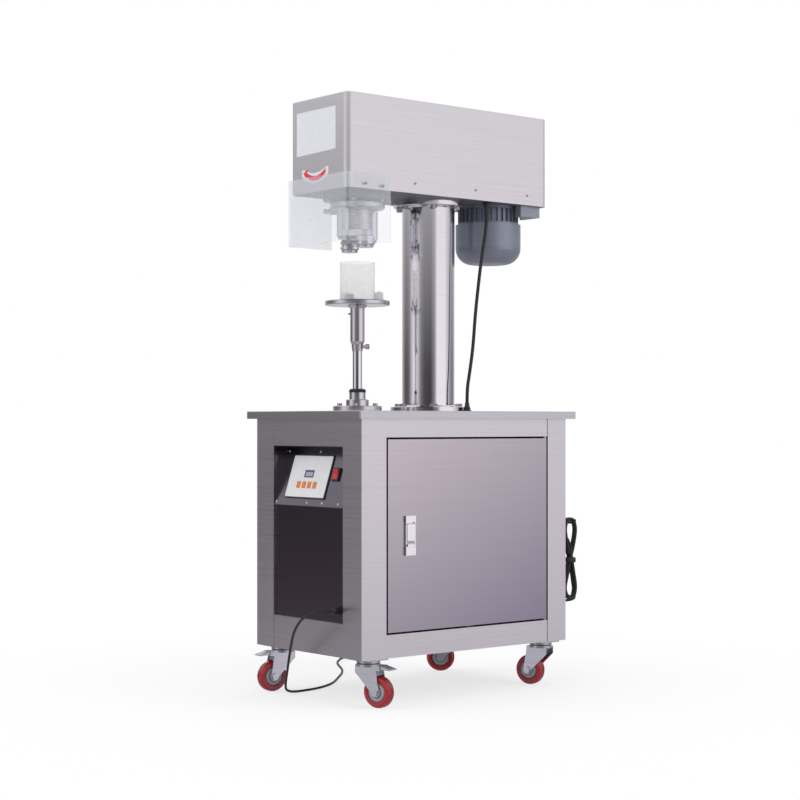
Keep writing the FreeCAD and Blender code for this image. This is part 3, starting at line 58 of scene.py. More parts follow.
# ------------------------------------------------------------------ material helpers
class Nodes:
    """A material's node tree with short calls for the nodes it is built from."""

    def __init__(self, name):
        self.material = bpy.data.materials.new(name)
        self.material.use_nodes = True
        self.tree = self.material.node_tree
        self.bsdf = self.tree.nodes["Principled BSDF"]
        self.coords = self.tree.nodes.new("ShaderNodeTexCoord").outputs["Object"]

    def new(self, kind, **settings):
        node = self.tree.nodes.new(kind)
        for key, value in settings.items():
            setattr(node, key, value)
        return node

    def link(self, a, b):
        self.tree.links.new(a, b)

    def set(self, **values):
        for key, value in values.items():
            self.bsdf.inputs[key.replace("_", " ")].default_value = value

    def stretched(self, scale, base=None):
        node = self.new("ShaderNodeMapping")
        node.inputs["Scale"].default_value = scale
        self.link(base or self.coords, node.inputs["Vector"])
        return node.outputs["Vector"]

    def noise(self, scale, vector=None, detail=3.0, rough=0.5):
        node = self.new("ShaderNodeTexNoise")
        node.inputs["Scale"].default_value = scale
        node.inputs["Detail"].default_value = detail
        node.inputs["Roughness"].default_value = rough
        self.link(vector or self.coords, node.inputs["Vector"])
        return node.outputs["Fac"]

    def ramp(self, value, stops, mode="LINEAR"):
        node = self.new("ShaderNodeValToRGB")
        node.color_ramp.interpolation = mode
        elements = node.color_ramp.elements
        while len(elements) < len(stops):
            elements.new(0.5)
        for element, (at, colour) in zip(elements, stops):
            element.position = at
            element.color = (*colour, 1) if len(colour) == 3 else colour
        self.link(value, node.inputs["Fac"])
        return node.outputs["Color"]

    def math(self, operation, a, b=None, c=None):
        node = self.new("ShaderNodeMath", operation=operation)
        for i, value in enumerate((a, b, c)):
            if value is None:
                continue
            if isinstance(value, (int, float)):
                node.inputs[i].default_value = value
            else:
                self.link(value, node.inputs[i])
        return node.outputs[0]

    def mix(self, factor, a, b, blend="MIX"):
        node = self.new("ShaderNodeMix", data_type="RGBA", blend_type=blend)
        for socket, value in ((node.inputs[0], factor), (node.inputs[6], a), (node.inputs[7], b)):
            if isinstance(value, (int, float)):
                socket.default_value = value
            elif isinstance(value, tuple):
                socket.default_value = (*value, 1) if len(value) == 3 else value
            else:
                self.link(value, socket)
        return node.outputs[2]

    def axes(self):
        node = self.new("ShaderNodeSeparateXYZ")
        self.link(self.coords, node.inputs[0])
        return node.outputs

    def colour(self, output):
        self.link(output, self.bsdf.inputs["Base Color"])

    def roughness(self, fac, low, high):
        node = self.new("ShaderNodeMapRange")
        node.inputs["To Min"].default_value = low
        node.inputs["To Max"].default_value = high
        self.link(fac, node.inputs["Value"])
        self.link(node.outputs[0], self.bsdf.inputs["Roughness"])

    def bump(self, height, strength, distance):
        node = self.new("ShaderNodeBump")
        node.inputs["Strength"].default_value = strength
        node.inputs["Distance"].default_value = distance
        self.link(height, node.inputs["Height"])
        self.link(node.outputs["Normal"], self.bsdf.inputs["Normal"])


def brushed(name, colour, dark=0.82, rough=(0.22, 0.36), grain=(3.0, 3.0, 900.0), bump=0.12,
            anisotropic=0.4, tint=None, painted_shade=None):
    """Steel brushed in fine parallel lines, with slow cloudy variation, and with an optional shade colour
    painted in as a painted shade and dark reflection, darker towards the bottom and the rear.
    """
    n = Nodes(name)
    lines = n.noise(1.0, n.stretched(grain), 4.0, 0.65)
    cloud = n.noise(2.3, None, 2.0, 0.5)
    low = tuple(c * dark for c in colour)
    shade = n.ramp(lines, [(0.3, low), (0.7, colour)])
    brushed_colour = n.mix(n.ramp(cloud, [(0.3, (0.0, 0.0, 0.0)), (0.7, (0.35, 0.35, 0.35))]), shade,
                   tint or tuple(c * 0.9 for c in colour))
    if painted_shade:
        # painted shade and dark reflection: the colour runs towards the shade colour lower down and
        # further back
        x, y, z = n.axes()
        down = n.math("MULTIPLY_ADD", z, -1.05, 0.72)
        across = n.math("MULTIPLY_ADD", y, 0.55, 0.10)
        brushed_colour = n.mix(n.math("ADD", down, across), brushed_colour, painted_shade)
    n.colour(brushed_colour)
    n.set(Metallic=1.0, Anisotropic=anisotropic)
    n.roughness(lines, *rough)
    n.bump(lines, bump, 0.0004)
    return n.material


def turned(name, colour, rough=(0.2, 0.34), scale=500.0):
    """Machined steel with fine rings across its height."""
    n = Nodes(name)
    rings = n.noise(1.0, n.stretched((6.0, 6.0, scale)), 3.0, 0.6)
    stain = n.noise(60.0, None, 4.0, 0.6)
    shade = n.ramp(rings, [(0.25, tuple(c * 0.75 for c in colour)), (0.75, colour)])
    n.colour(n.mix(n.ramp(stain, [(0.45, (0, 0, 0)), (0.75, (0.3, 0.3, 0.3))]), shade,
                   tuple(c * 0.7 for c in colour)))
    n.set(Metallic=1.0)
    n.roughness(rings, *rough)
    n.bump(rings, 0.08, 0.0003)
    return n.material


def polished(name, colour, rough=(0.05, 0.11)):
    n = Nodes(name)
    smear = n.noise(1.0, n.stretched((9.0, 9.0, 1.2)), 3.0, 0.5)
    fine = n.noise(1.0, n.stretched((14.0, 14.0, 700.0)), 2.0, 0.5)
    n.colour(n.ramp(fine, [(0.3, tuple(c * 0.93 for c in colour)), (0.7, colour)]))
    n.set(Metallic=1.0)
    n.roughness(smear, *rough)
    n.bump(fine, 0.02, 0.0002)
    return n.material


def cast(name, colour, rough=(0.4, 0.6), grain=260.0, metallic=0.0, bump=0.25):
    """A painted or cast surface with a fine skin and faint dust."""
    n = Nodes(name)
    skin = n.noise(grain, None, 4.0, 0.6)
    dust = n.noise(14.0, None, 5.0, 0.6)
    n.colour(n.mix(n.ramp(dust, [(0.4, (0, 0, 0)), (0.8, (0.3, 0.3, 0.3))]),
                   n.ramp(skin, [(0.2, tuple(c * 0.88 for c in colour)), (0.8, colour)]),
                   tuple(min(1.0, c * 1.25 + 0.01) for c in colour)))
    n.set(Metallic=metallic)
    n.roughness(skin, *rough)
    n.bump(skin, bump, 0.0003)
    return n.material


def plastic(name, colour, rough=(0.3, 0.42), grain=900.0, bump=0.06):
    n = Nodes(name)
    skin = n.noise(grain, None, 2.0, 0.5)
    wear = n.noise(35.0, None, 4.0, 0.6)
    n.colour(n.mix(n.ramp(wear, [(0.4, (0, 0, 0)), (0.85, (0.25, 0.25, 0.25))]),
                   n.ramp(skin, [(0.2, tuple(c * 0.9 for c in colour)), (0.8, colour)]),
                   tuple(min(1.0, c * 1.12 + 0.012) for c in colour)))
    n.roughness(wear, *rough)
    n.bump(skin, bump, 0.0002)
    return n.material


def clear(name, colour, alpha, rough=(0.04, 0.12)):
    """Clear sheet shown by see-through shading, a little milky where it is scuffed, and more opaque where
    it is seen edge-on: a painted reflection.
    """
    n = Nodes(name)
    scuff = n.noise(22.0, None, 5.0, 0.65)
    n.colour(n.ramp(scuff, [(0.3, tuple(c * 0.96 for c in colour)), (0.7, colour)]))
    n.roughness(scuff, *rough)
    # the sheet grows more opaque where it is seen edge-on: a painted reflection
    lay = n.new("ShaderNodeLayerWeight")
    lay.inputs["Blend"].default_value = 0.35
    edge = n.math("MULTIPLY_ADD", lay.outputs["Facing"], 0.45, alpha)
    n.link(n.math("MULTIPLY_ADD", scuff, 0.08, edge), n.bsdf.inputs["Alpha"])
    n.set(IOR=1.49)
    return n.material


# ------------------------------------------------------------------ materials
STEEL = (0.80, 0.775, 0.80)
steel_across = brushed("brushed_sheet_across", STEEL)
steel_cover = brushed("brushed_cover", (0.88, 0.865, 0.88), rough=(0.24, 0.38))
# door steel with a painted shade and dark reflection, darker towards the bottom and the rear
steel_door_painted_shade = brushed("brushed_door_painted_shade", (0.72, 0.66, 0.69), rough=(0.24, 0.36), tint=(0.62, 0.56, 0.60),
                     painted_shade=(0.27, 0.25, 0.34))
steel_table = brushed("brushed_table", (0.70, 0.69, 0.71), grain=(900.0, 3.0, 900.0))
# lower front panel: steel given a near-black colour, a painted dark reflection
steel_painted_dark_reflection = brushed("lower_panel_painted_dark_reflection", (0.20, 0.165, 0.19), rough=(0.12, 0.2), bump=0.05)
# recessed control panel: steel given a near-black colour, a painted shade and dark reflection
steel_recess_painted_shade = brushed("recess_panel_painted_shade", (0.20, 0.185, 0.215), rough=(0.2, 0.3))
steel_floor = brushed("floor_sheet", (0.5, 0.49, 0.5))
steel_turned = polished("turned_steel", (0.68, 0.67, 0.70), rough=(0.14, 0.24))
steel_bolt = turned("bolt_steel", (0.66, 0.65, 0.66), scale=300.0)
steel_tray = polished("tray_steel", (0.66, 0.65, 0.68), rough=(0.12, 0.2))
column_polish = polished("polished_column", (0.82, 0.81, 0.84))
chrome = polished("bright_chrome", (0.85, 0.85, 0.87))
cast_base = cast("cast_head_base", (0.20, 0.20, 0.22), metallic=0.6)
turret_metal = turned("turret_steel", (0.62, 0.61, 0.64))
motor_paint = cast("motor_paint", (0.22, 0.24, 0.30), rough=(0.3, 0.45), metallic=0.5)
cowl_paint = cast("cowl_paint", (0.26, 0.28, 0.34), rough=(0.28, 0.4), grain=420.0, metallic=0.55,
                  bump=0.15)
box_paint = cast("box_paint", (0.30, 0.32, 0.37), metallic=0.4)
acrylic = clear("guard_acrylic", (0.86, 0.88, 0.95), 0.10)
can_clear = clear("can_clear", (0.93, 0.93, 0.94), 0.16)
rubber = plastic("black_rubber", (0.018, 0.018, 0.02), rough=(0.45, 0.6), bump=0.15)
black_plastic = plastic("black_plastic", (0.02, 0.02, 0.023))
nylon = plastic("nylon_white", (0.82, 0.81, 0.78))
keypad_white = plastic("keypad_white", (0.80, 0.80, 0.82), rough=(0.2, 0.3))
key_orange = plastic("key_orange", (0.80, 0.23, 0.03), rough=(0.3, 0.4))
rocker_red = plastic("rocker_red", (0.60, 0.02, 0.02), rough=(0.15, 0.25))
switch_grey = plastic("foot_switch_grey", (0.05, 0.05, 0.055))
pedal_ribbed = plastic("pedal_black", (0.025, 0.025, 0.028), rough=(0.5, 0.7), bump=0.3)
zinc = turned("zinc_fork", (0.72, 0.74, 0.78), rough=(0.16, 0.3), scale=90.0)
brake_plate = turned("brake_zinc", (0.66, 0.68, 0.72), rough=(0.2, 0.34), scale=120.0)
display_dark = plastic("display_frame", (0.045, 0.045, 0.075), rough=(0.25, 0.35))
display_face = plastic("display_face", (0.30, 0.31, 0.46), rough=(0.25, 0.35))
plate_white = plastic("plate_white", (0.78, 0.78, 0.84), rough=(0.3, 0.4))
arrow_red = plastic("arrow_red", (0.78, 0.05, 0.06), rough=(0.3, 0.4))
bright_screw = plastic("screw_bright", (0.75, 0.74, 0.78), rough=(0.2, 0.3))
pulley_metal = turned("pulley_aluminium", (0.70, 0.70, 0.71))


def wheel_material(name, centre, axis):
    """A red tread round a grey ringed hub, told apart by the distance from the axle."""
    n = Nodes(name)
    move = n.new("ShaderNodeVectorMath", operation="SUBTRACT")
    n.link(n.coords, move.inputs[0])
    move.inputs[1].default_value = centre
    cross = n.new("ShaderNodeVectorMath", operation="CROSS_PRODUCT")
    n.link(move.outputs[0], cross.inputs[0])
    cross.inputs[1].default_value = axis
    length = n.new("ShaderNodeVectorMath", operation="LENGTH")
    n.link(cross.outputs[0], length.inputs[0])
    r = n.math("MULTIPLY", length.outputs["Value"], 25.0)
    grain = n.noise(300.0, None, 3.0, 0.5)
    red, deep = (0.42, 0.012, 0.02), (0.22, 0.008, 0.014)
    hub, ring = (0.50, 0.50, 0.52), (0.16, 0.15, 0.17)
    shade = n.ramp(r, [(0.0, ring), (0.27, hub), (0.36, ring), (0.47, hub), (0.60, ring),
                       (0.635, deep), (0.70, red), (0.97, red), (1.0, deep)])
    n.colour(n.mix(n.ramp(grain, [(0.4, (0, 0, 0)), (0.9, (0.25, 0.25, 0.25))]), shade, deep))
    n.roughness(grain, 0.2, 0.34)
    n.bump(grain, 0.05, 0.0003)
    n.set(Coat_Weight=0.3)
    return n.material


def assign(material, *nodes):
    for node in nodes:
        for slot in frame["nodes"][node].material_slots:
            slot.material = material


assign(steel_across, "cabinet_frame", "side_rear_panels")
assign(steel_recess_painted_shade, "control_box")
assign(steel_floor, "cabinet_floor")
assign(steel_table, "table_top")
assign(steel_painted_dark_reflection, "front_panel")
assign(steel_door_painted_shade, "door")
assign(steel_cover, "head_cover")
assign(keypad_white, "keypad_plate")
assign(black_plastic, "switch_bezel", "cable_glands", "mains_plug")
assign(key_orange, "button_1", "button_2", "button_3", "button_4")
assign(rocker_red, "rocker")
assign(steel_bolt, "flange_bolts", "door_hinges", "caster_plates", "thumb_screw")
assign(steel_turned, "lift_housing", "chuck", "roller_lever_1", "roller_lever_2")
assign(column_polish, "column")
assign(rubber, "lift_wiper", "drive_belt")
assign(pulley_metal, "lift_cylinder", "motor_pulley")
assign(cast_base, "head_base")
assign(turret_metal, "turret")
assign(chrome, "seaming_roller_1", "seaming_roller_2", "lift_rod", "latch_base", "latch_lever")
assign(motor_paint, "motor_body")
assign(box_paint, "motor_box")
assign(cowl_paint, "motor_cowl")
assign(acrylic, "guard")
assign(can_clear, "can")
assign(nylon, "locating_blocks")
assign(steel_tray, "tray")
assign(switch_grey, "foot_switch_base")
assign(pedal_ribbed, "foot_pedal")
for corner in ("front_left", "front_right", "rear_left", "rear_right"):
    assign(zinc, f"caster_fork_{corner}")
    short = "".join(word[0] for word in corner.split("_"))
    joint = next(j for j in frame["joints"] if j["name"] == f"wheel_{short}_roll")
    assign(wheel_material(f"wheel_{corner}", joint["pos_m"], joint["axis"]), f"caster_wheel_{corner}")
assign(brake_plate, "brake_pedal_front_left", "brake_pedal_front_right")


# ------------------------------------------------------------------ geometry helpers
def mesh_piece(name, bm, material, body, smooth=True):
    mesh = bpy.data.meshes.new(name)
    bm.normal_update()
    bm.to_mesh(mesh)
    bm.free()
    piece = bpy.data.objects.new(name, mesh)
    bpy.context.collection.objects.link(piece)
    mesh.materials.append(material)
    for face in mesh.polygons:
        face.use_smooth = smooth
    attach(piece, body)
    return piece


def lathe_into(bm, profile, at, axis, segments=20):
    """Turn (radius, distance) points about the line from `at` along `axis`."""
    turn = Vector(axis).to_track_quat("Z", "Y").to_matrix()
    rings = []
    for radius, height in profile:
        if radius == 0:
            rings.append([bm.verts.new(Vector(at) + turn @ Vector((0, 0, height)))])
            continue
        angles = [2 * math.pi * i / segments for i in range(segments)]
        rings.append([
            bm.verts.new(Vector(at) + turn @ Vector((radius * math.cos(a), radius * math.sin(a), height)))
            for a in angles
        ])
    for low, high in zip(rings, rings[1:]):
        for i in range(segments):
            j = (i + 1) % segments
            if len(low) == 1:
                bm.faces.new((low[0], high[j], high[i]))
            elif len(high) == 1:
                bm.faces.new((low[i], low[j], high[0]))
            else:
                bm.faces.new((low[i], low[j], high[j], high[i]))


def screws(name, places, axis, radius, material, body):
    """Domed socket screws at several places, in one piece."""
    bm = bmesh.new()
    r = radius
    profile = [(r, 0), (r, 0.25 * r), (0.86 * r, 0.5 * r), (0.55 * r, 0.64 * r),
               (0.38 * r, 0.64 * r), (0.36 * r, 0.2 * r), (0, 0.15 * r)]
    for at in places:
        lathe_into(bm, profile, at, axis)
    return mesh_piece(name, bm, material, body)


def on_slope(x, rise, out=0.0):
    """A point of the sloping control panel: across, up the slope and out of it."""
    s, c = math.sin(SLOPE), math.cos(SLOPE)
    return Vector((x, FRONT + 1.5 * MM + rise * s - out * c, RECESS_LOW + rise * c + out * s))


SLOPE_OUT = Vector((0, -math.cos(SLOPE), math.sin(SLOPE)))


def cord_curve(name, points, diameter, material, body):
    curve = bpy.data.curves.new(name, "CURVE")
    curve.dimensions = "3D"
    spline = curve.splines.new("NURBS")
    spline.points.add(len(points) - 1)
    for point, place in zip(spline.points, points):
        point.co = (*place, 1)
    spline.use_endpoint_u = True
    spline.order_u = 3
    spline.resolution_u = 10
    curve.bevel_depth = diameter / 2
    curve.bevel_resolution = 5
    curve.use_fill_caps = True
    curve.materials.append(material)
    piece = bpy.data.objects.new(name, curve)
    bpy.context.collection.objects.link(piece)
    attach(piece, body)
    return piece


# ------------------------------------------------------------------ small pieces
def slope_patch(bm, x0, x1, v0, v1, out, thick=0.0004):
    """A thin box lying on the sloping panel."""
    corners = [(x0, v0), (x1, v0), (x1, v1), (x0, v1)]
    low = [bm.verts.new(on_slope(x, v, out)) for x, v in corners]
    top = [bm.verts.new(on_slope(x, v, out + thick)) for x, v in corners]
    bm.faces.new(top)
    bm.faces.new(low[::-1])
    for i in range(4):
        j = (i + 1) % 4
        bm.faces.new((low[i], low[j], top[j], top[i]))


KEY_X, KEY_V, KEY_W, KEY_H = -0.024, 0.078, 0.166, 0.111
DISPLAY_X, DISPLAY_V = -0.025, 0.085
edge = bmesh.new()
x0, x1 = KEY_X - KEY_W / 2, KEY_X + KEY_W / 2
v0, v1 = KEY_V - KEY_H / 2, KEY_V + KEY_H / 2
for strip in ((x0 - 0.0016, x0, v0, v1), (x1, x1 + 0.0034, v0, v1),
              (x0, x1 + 0.0034, v1, v1 + 0.0034), (x0, x1 + 0.0034, v0 - 0.0036, v0)):
    slope_patch(edge, *strip, 0.0, 0.0028)
mesh_piece("keypad_edge", edge, black_plastic, "machine", smooth=False)

panel = bmesh.new()
slope_patch(panel, DISPLAY_X - 0.0199, DISPLAY_X + 0.0199, DISPLAY_V - 0.0099, DISPLAY_V + 0.0099,
            0.0015, 0.0012)
mesh_piece("display_frame", panel, display_dark, "machine", smooth=False)
panel = bmesh.new()
slope_patch(panel, DISPLAY_X - 0.0150, DISPLAY_X + 0.0160, DISPLAY_V - 0.0068, DISPLAY_V + 0.0056,
            0.0027, 0.0002)
mesh_piece("display_face", panel, display_face, "machine", smooth=False)
digits = bmesh.new()
DIGIT_PITCH, STROKE = 0.009, 0.0008
DIGIT_OUT, DIGIT_THICK = 0.0029, 0.0002
for i in range(3):
    cx = DISPLAY_X - 0.0085 + DIGIT_PITCH * i
    for dx in (-0.0024, 0.0018):
        left = cx + dx
        slope_patch(digits, left, left + STROKE, DISPLAY_V - 0.0050, DISPLAY_V + 0.0036,
                    DIGIT_OUT, DIGIT_THICK)
    for dv in (-0.0054, -0.0012, 0.0032):
        foot = DISPLAY_V + dv
        slope_patch(digits, cx - 0.0024, cx + 0.0026, foot, foot + STROKE, DIGIT_OUT, DIGIT_THICK)
mesh_piece("display_digits", digits, plate_white, "machine", smooth=False)

PANEL_SCREWS = ((-0.1400, 0.1460), (-0.004, 0.1460), (-0.140, 0.0085), (-0.008, 0.0085),
                (0.057, 0.0085), (0.124, 0.0085))
screws("panel_screws", [on_slope(x, v, 0.0) for x, v in PANEL_SCREWS],
       SLOPE_OUT, 0.0028, bright_screw, "machine")
GUARD_SCREWS = ((-0.2123, 1.3184), (-0.268, 1.3215))  # y and height on either side
COVER_SCREWS = ((0.1116, 1.335), (-0.10, 1.335), (0.30, 1.335))
for name, places, x, outward, radius in (
    ("guard_screws_right", GUARD_SCREWS, guard_hi[0], 1, 0.0042),
    ("guard_screws_left", GUARD_SCREWS, guard_lo[0], -1, 0.0042),
    ("cover_screws", COVER_SCREWS, cover_hi[0], 1, 0.0036),
    ("cover_screws_left", COVER_SCREWS, cover_lo[0], -1, 0.0036),
):
    screws(name, [Vector((x, y, z)) for y, z in places], (outward, 0, 0), radius, steel_bolt,
           "machine")


def front_plate(name, outline, material, out):
    """A thin flat plate stuck on the head's front face, from its outline in x and z."""
    bm = bmesh.new()
    y = cover_lo[1] - out
    near = [bm.verts.new(Vector((x, y - 0.0003, z))) for x, z in outline]
    far = [bm.verts.new(Vector((x, y, z))) for x, z in outline]
    bm.faces.new(near)
    bm.faces.new(far[::-1])
    for i in range(len(outline)):
        j = (i + 1) % len(outline)
        bm.faces.new((far[i], far[j], near[j], near[i]))
    bmesh.ops.recalc_face_normals(bm, faces=bm.faces)
    return mesh_piece(name, bm, material, "machine", smooth=False)


def bow(x0, x1, z_end, sag, half, steps=14, cap=True):
    """A curved band's outline: lower edge left to right, then the upper edge back."""
    low, high = [], []
    for i in range(steps + 1):
        u = i / steps
        x = x0 + (x1 - x0) * u
        z = z_end - sag * (1 - (2 * u - 1) ** 2)
        h = half * (min(1.0, 0.55 + 6 * min(u, 1 - u)) if cap else 1)
        low.append((x, z - h))
        high.append((x, z + h))
    return low + high[::-1]


front_plate("blank_plate", [(-0.093, 1.4065), (0.0745, 1.4110), (0.0740, 1.5200), (-0.0925, 1.5200)],
            plate_white, 0.0)
front_plate("arrow_backing", bow(-0.070, 0.044, 1.3610, 0.0170, 0.0135), plate_white, 0.0)
front_plate("arrow_red", bow(-0.055, 0.032, 1.3600, 0.0165, 0.0058, cap=False), arrow_red, 0.0003)
front_plate("arrow_head", [(-0.064, 1.3600), (-0.051, 1.3475), (-0.046, 1.3690)], arrow_red, 0.0006)

# ------------------------------------------------------------------ cords
FOOT_LEAD = [
    (0.127, -0.3905, 0.240), (0.127, -0.4115, 0.240), (0.115, -0.4315, 0.236),
    (0.090, -0.4395, 0.223), (0.060, -0.4335, 0.203), (0.028, -0.4225, 0.177),
    (0.002, -0.4095, 0.150), (-0.022, -0.3975, 0.121), (-0.044, -0.3865, 0.088),
    (-0.066, -0.3755, 0.057), (-0.088, -0.3635, 0.030), (-0.110, -0.3455, 0.011),
    (-0.119, -0.3155, 0.00325), (-0.122, -0.2735, 0.00325), (-0.131, -0.2285, 0.00325),
    (-0.152, -0.1815, 0.00325), (-0.182, -0.1375, 0.00325), (-0.222, -0.0955, 0.00325),
    (-0.264, -0.0545, 0.00325), (-0.306, -0.0125, 0.00325), (-0.350, 0.0255, 0.00325),
    (-0.396, 0.0575, 0.00325), (-0.444, 0.0855, 0.00325), (-0.490, 0.1135, 0.00325),
    (-0.528, 0.1445, 0.00425), (-0.555, 0.1845, 0.0095), (-0.555, 0.2225, 0.0095),
]
foot_lead = cord_curve("foot_lead_cord", FOOT_LEAD, 0.0065, rubber, "machine")
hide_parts("foot_lead")

MOTOR_CABLE = [
    (0.100, 0.1715, 1.285), (0.100, 0.1715, 1.247), (0.100, 0.155, 1.165), (0.100, 0.1455, 1.110),
    (0.1005, 0.130, 1.005), (0.100, 0.1225, 0.915),
    (0.1015, 0.1075, 0.839), (0.104, 0.0975, 0.804), (0.104, 0.0975, 0.766),
]
motor_cable = cord_curve("motor_cable_cord", MOTOR_CABLE, 0.009, rubber, "machine")
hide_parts("motor_cable")

HANK_X, HANK_Y, TIE_Z = 0.202, 0.3875, 0.333
LEAD_IN = [
    (0.095, 0.372, 0.215), (0.095, 0.398, 0.215), (0.108, 0.422, 0.215), (0.132, 0.435, 0.216),
    (0.158, 0.438, 0.220), (0.182, 0.428, 0.230),
]


def hank_turn(top_z, top_half, low_z, low_half, x):
    """Eighteen points of one turn of the hank: up one side, over the top and down to the bottom."""
    pinch = 0.005
    return [
        (x - 0.001, HANK_Y + low_half * 0.80, low_z + 0.030),
        (x - 0.001, HANK_Y + low_half * 0.62, low_z + 0.058),
        (x, HANK_Y + pinch + 0.004, TIE_Z - 0.022),
        (x, HANK_Y + pinch, TIE_Z),
        (x, HANK_Y - pinch - 0.002, TIE_Z + 0.030),
        (x + 0.001, HANK_Y - top_half * 0.80, top_z - 0.050),
        (x + 0.001, HANK_Y - top_half, top_z - 0.024),
        (x + 0.001, HANK_Y - top_half * 0.5, top_z),
        (x + 0.002, HANK_Y + top_half * 0.5, top_z),
        (x + 0.002, HANK_Y + top_half, top_z - 0.024),
        (x + 0.003, HANK_Y + top_half * 0.80, top_z - 0.050),
        (x + 0.003, HANK_Y + pinch + 0.002, TIE_Z + 0.030),
        (x + 0.003, HANK_Y - pinch, TIE_Z),
        (x + 0.003, HANK_Y - pinch - 0.004, TIE_Z - 0.022),
        (x + 0.004, HANK_Y - low_half * 0.62, low_z + 0.058),
        (x + 0.004, HANK_Y - low_half, low_z + 0.024),
        (x + 0.004, HANK_Y - low_half * 0.4, low_z),
        (x + 0.005, HANK_Y + low_half * 0.4, low_z),
    ]


MAINS = list(LEAD_IN)
for turn in (
    hank_turn(0.449, 0.021, 0.231, 0.025, 0.1935),
    hank_turn(0.445, 0.022, 0.236, 0.023, 0.1985),
    hank_turn(0.449, 0.020, 0.232, 0.025, 0.2035),
):
    MAINS += turn
MAINS += [
    (0.2085, HANK_Y + 0.018, 0.262), (0.208, HANK_Y + 0.010, 0.300), (0.207, HANK_Y + 0.002, 0.345),
    (0.204, HANK_Y - 0.004, 0.385), (0.192, HANK_Y - 0.008, 0.402), (0.174, HANK_Y - 0.009, 0.397),
    (0.159, HANK_Y - 0.009, 0.379), (0.151, HANK_Y - 0.008, 0.357), (0.150, 0.3795, 0.330),
]
mains = cord_curve("mains_lead_cord", MAINS, 0.007, rubber, "machine")
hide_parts("mains_lead", "mains_hank")

tie = bmesh.new()
lathe_into(tie, [(0.0135, -0.007), (0.0160, -0.006), (0.0166, 0.0), (0.0160, 0.006), (0.0135, 0.007)],
           (HANK_X - 0.001, HANK_Y, TIE_Z + 0.003), (0, 0, 1), 24)
mesh_piece("hank_tie", tie, rubber, "machine")

# ------------------------------------------------------------------ stage, camera and light
floor_mesh = bmesh.new()
HALF_FLOOR = 40.0
quarters = ((-1, -1), (1, -1), (1, 1), (-1, 1))
corners = [floor_mesh.verts.new((x * HALF_FLOOR, y * HALF_FLOOR, 0)) for x, y in quarters]
floor_mesh.faces.new(corners)
mesh = bpy.data.meshes.new("studio_floor")
floor_mesh.to_mesh(mesh)
floor_mesh.free()
floor = bpy.data.objects.new("studio_floor", mesh)
bpy.context.collection.objects.link(floor)
white = bpy.data.materials.new("studio_white")
white.use_nodes = True
tree = white.node_tree
path = tree.nodes.new("ShaderNodeLightPath")
bsdf = tree.nodes["Principled BSDF"]
bsdf.inputs["Base Color"].default_value = (0.93, 0.93, 0.94, 1)
bsdf.inputs["Roughness"].default_value = 0.9
bsdf.inputs["Specular IOR Level"].default_value = 0.0
glow = tree.nodes.new("ShaderNodeEmission")
glow.inputs["Color"].default_value = (1, 1, 1, 1)
place = tree.nodes.new("ShaderNodeTexCoord")
reach = tree.nodes.new("ShaderNodeVectorMath")
reach.operation = "LENGTH"
tree.links.new(place.outputs["Object"], reach.inputs[0])
fade = tree.nodes.new("ShaderNodeMapRange")
fade.interpolation_type = "SMOOTHSTEP"
for key, value in (("From Min", 0.35), ("From Max", 1.5), ("To Min", 0.72), ("To Max", 1.0)):
    fade.inputs[key].default_value = value
tree.links.new(reach.outputs["Value"], fade.inputs["Value"])
shown = tree.nodes.new("ShaderNodeMath")
shown.operation = "MAXIMUM"
tree.links.new(path.outputs["Is Camera Ray"], shown.inputs[0])
tree.links.new(path.outputs["Is Transmission Ray"], shown.inputs[1])
paler = tree.nodes.new("ShaderNodeMath")
paler.operation = "MULTIPLY"
tree.links.new(shown.outputs[0], paler.inputs[0])
tree.links.new(fade.outputs[0], paler.inputs[1])
blend = tree.nodes.new("ShaderNodeMixShader")
tree.links.new(paler.outputs[0], blend.inputs[0])
tree.links.new(bsdf.outputs[0], blend.inputs[1])
tree.links.new(glow.outputs[0], blend.inputs[2])
mirror = tree.nodes.new("ShaderNodeMixShader")
away = tree.nodes.new("ShaderNodeBsdfTransparent")
tree.links.new(path.outputs["Is Glossy Ray"], mirror.inputs[0])
tree.links.new(blend.outputs[0], mirror.inputs[1])
tree.links.new(away.outputs[0], mirror.inputs[2])
tree.links.new(mirror.outputs[0], tree.nodes["Material Output"].inputs["Surface"])
mesh.materials.append(white)

world = bpy.data.worlds.new("studio")
bpy.context.scene.world = world
world.use_nodes = True
tree = world.node_tree
tree.nodes.clear()
out = tree.nodes.new("ShaderNodeOutputWorld")
path = tree.nodes.new("ShaderNodeLightPath")


def wmath(operation, a, b=None):
    node = tree.nodes.new("ShaderNodeMath")
    node.operation = operation
    for i, value in enumerate((a, b)):
        if isinstance(value, (int, float)):
            node.inputs[i].default_value = value
        elif value is not None:
            tree.links.new(value, node.inputs[i])
    return node.outputs[0]


coords = tree.nodes.new("ShaderNodeTexCoord")
split = tree.nodes.new("ShaderNodeSeparateXYZ")
tree.links.new(coords.outputs["Generated"], split.inputs[0])
azimuth = wmath("ARCTAN2", split.outputs[1], split.outputs[0])
turn = wmath("ADD", wmath("DIVIDE", azimuth, 2 * math.pi), 0.5)
studio = tree.nodes.new("ShaderNodeValToRGB")
stops = [  # bearing of the reflected studio, degrees from +X, and its grey
    (-180, 0.30), (-165, 0.12), (-150, 0.10), (-141, 0.12), (-131, 0.20), (-118, 0.62), (-104, 0.95),
    (-88, 0.66), (-74, 0.20), (-58, 0.07), (-30, 0.05), (-12, 0.30), (-2, 1.0), (30, 1.0),
    (42, 0.97), (50, 0.72), (62, 0.45), (88, 0.20), (104, 0.40), (125, 0.90), (180, 0.30),
]
elements = studio.color_ramp.elements
while len(elements) < len(stops):
    elements.new(0.5)
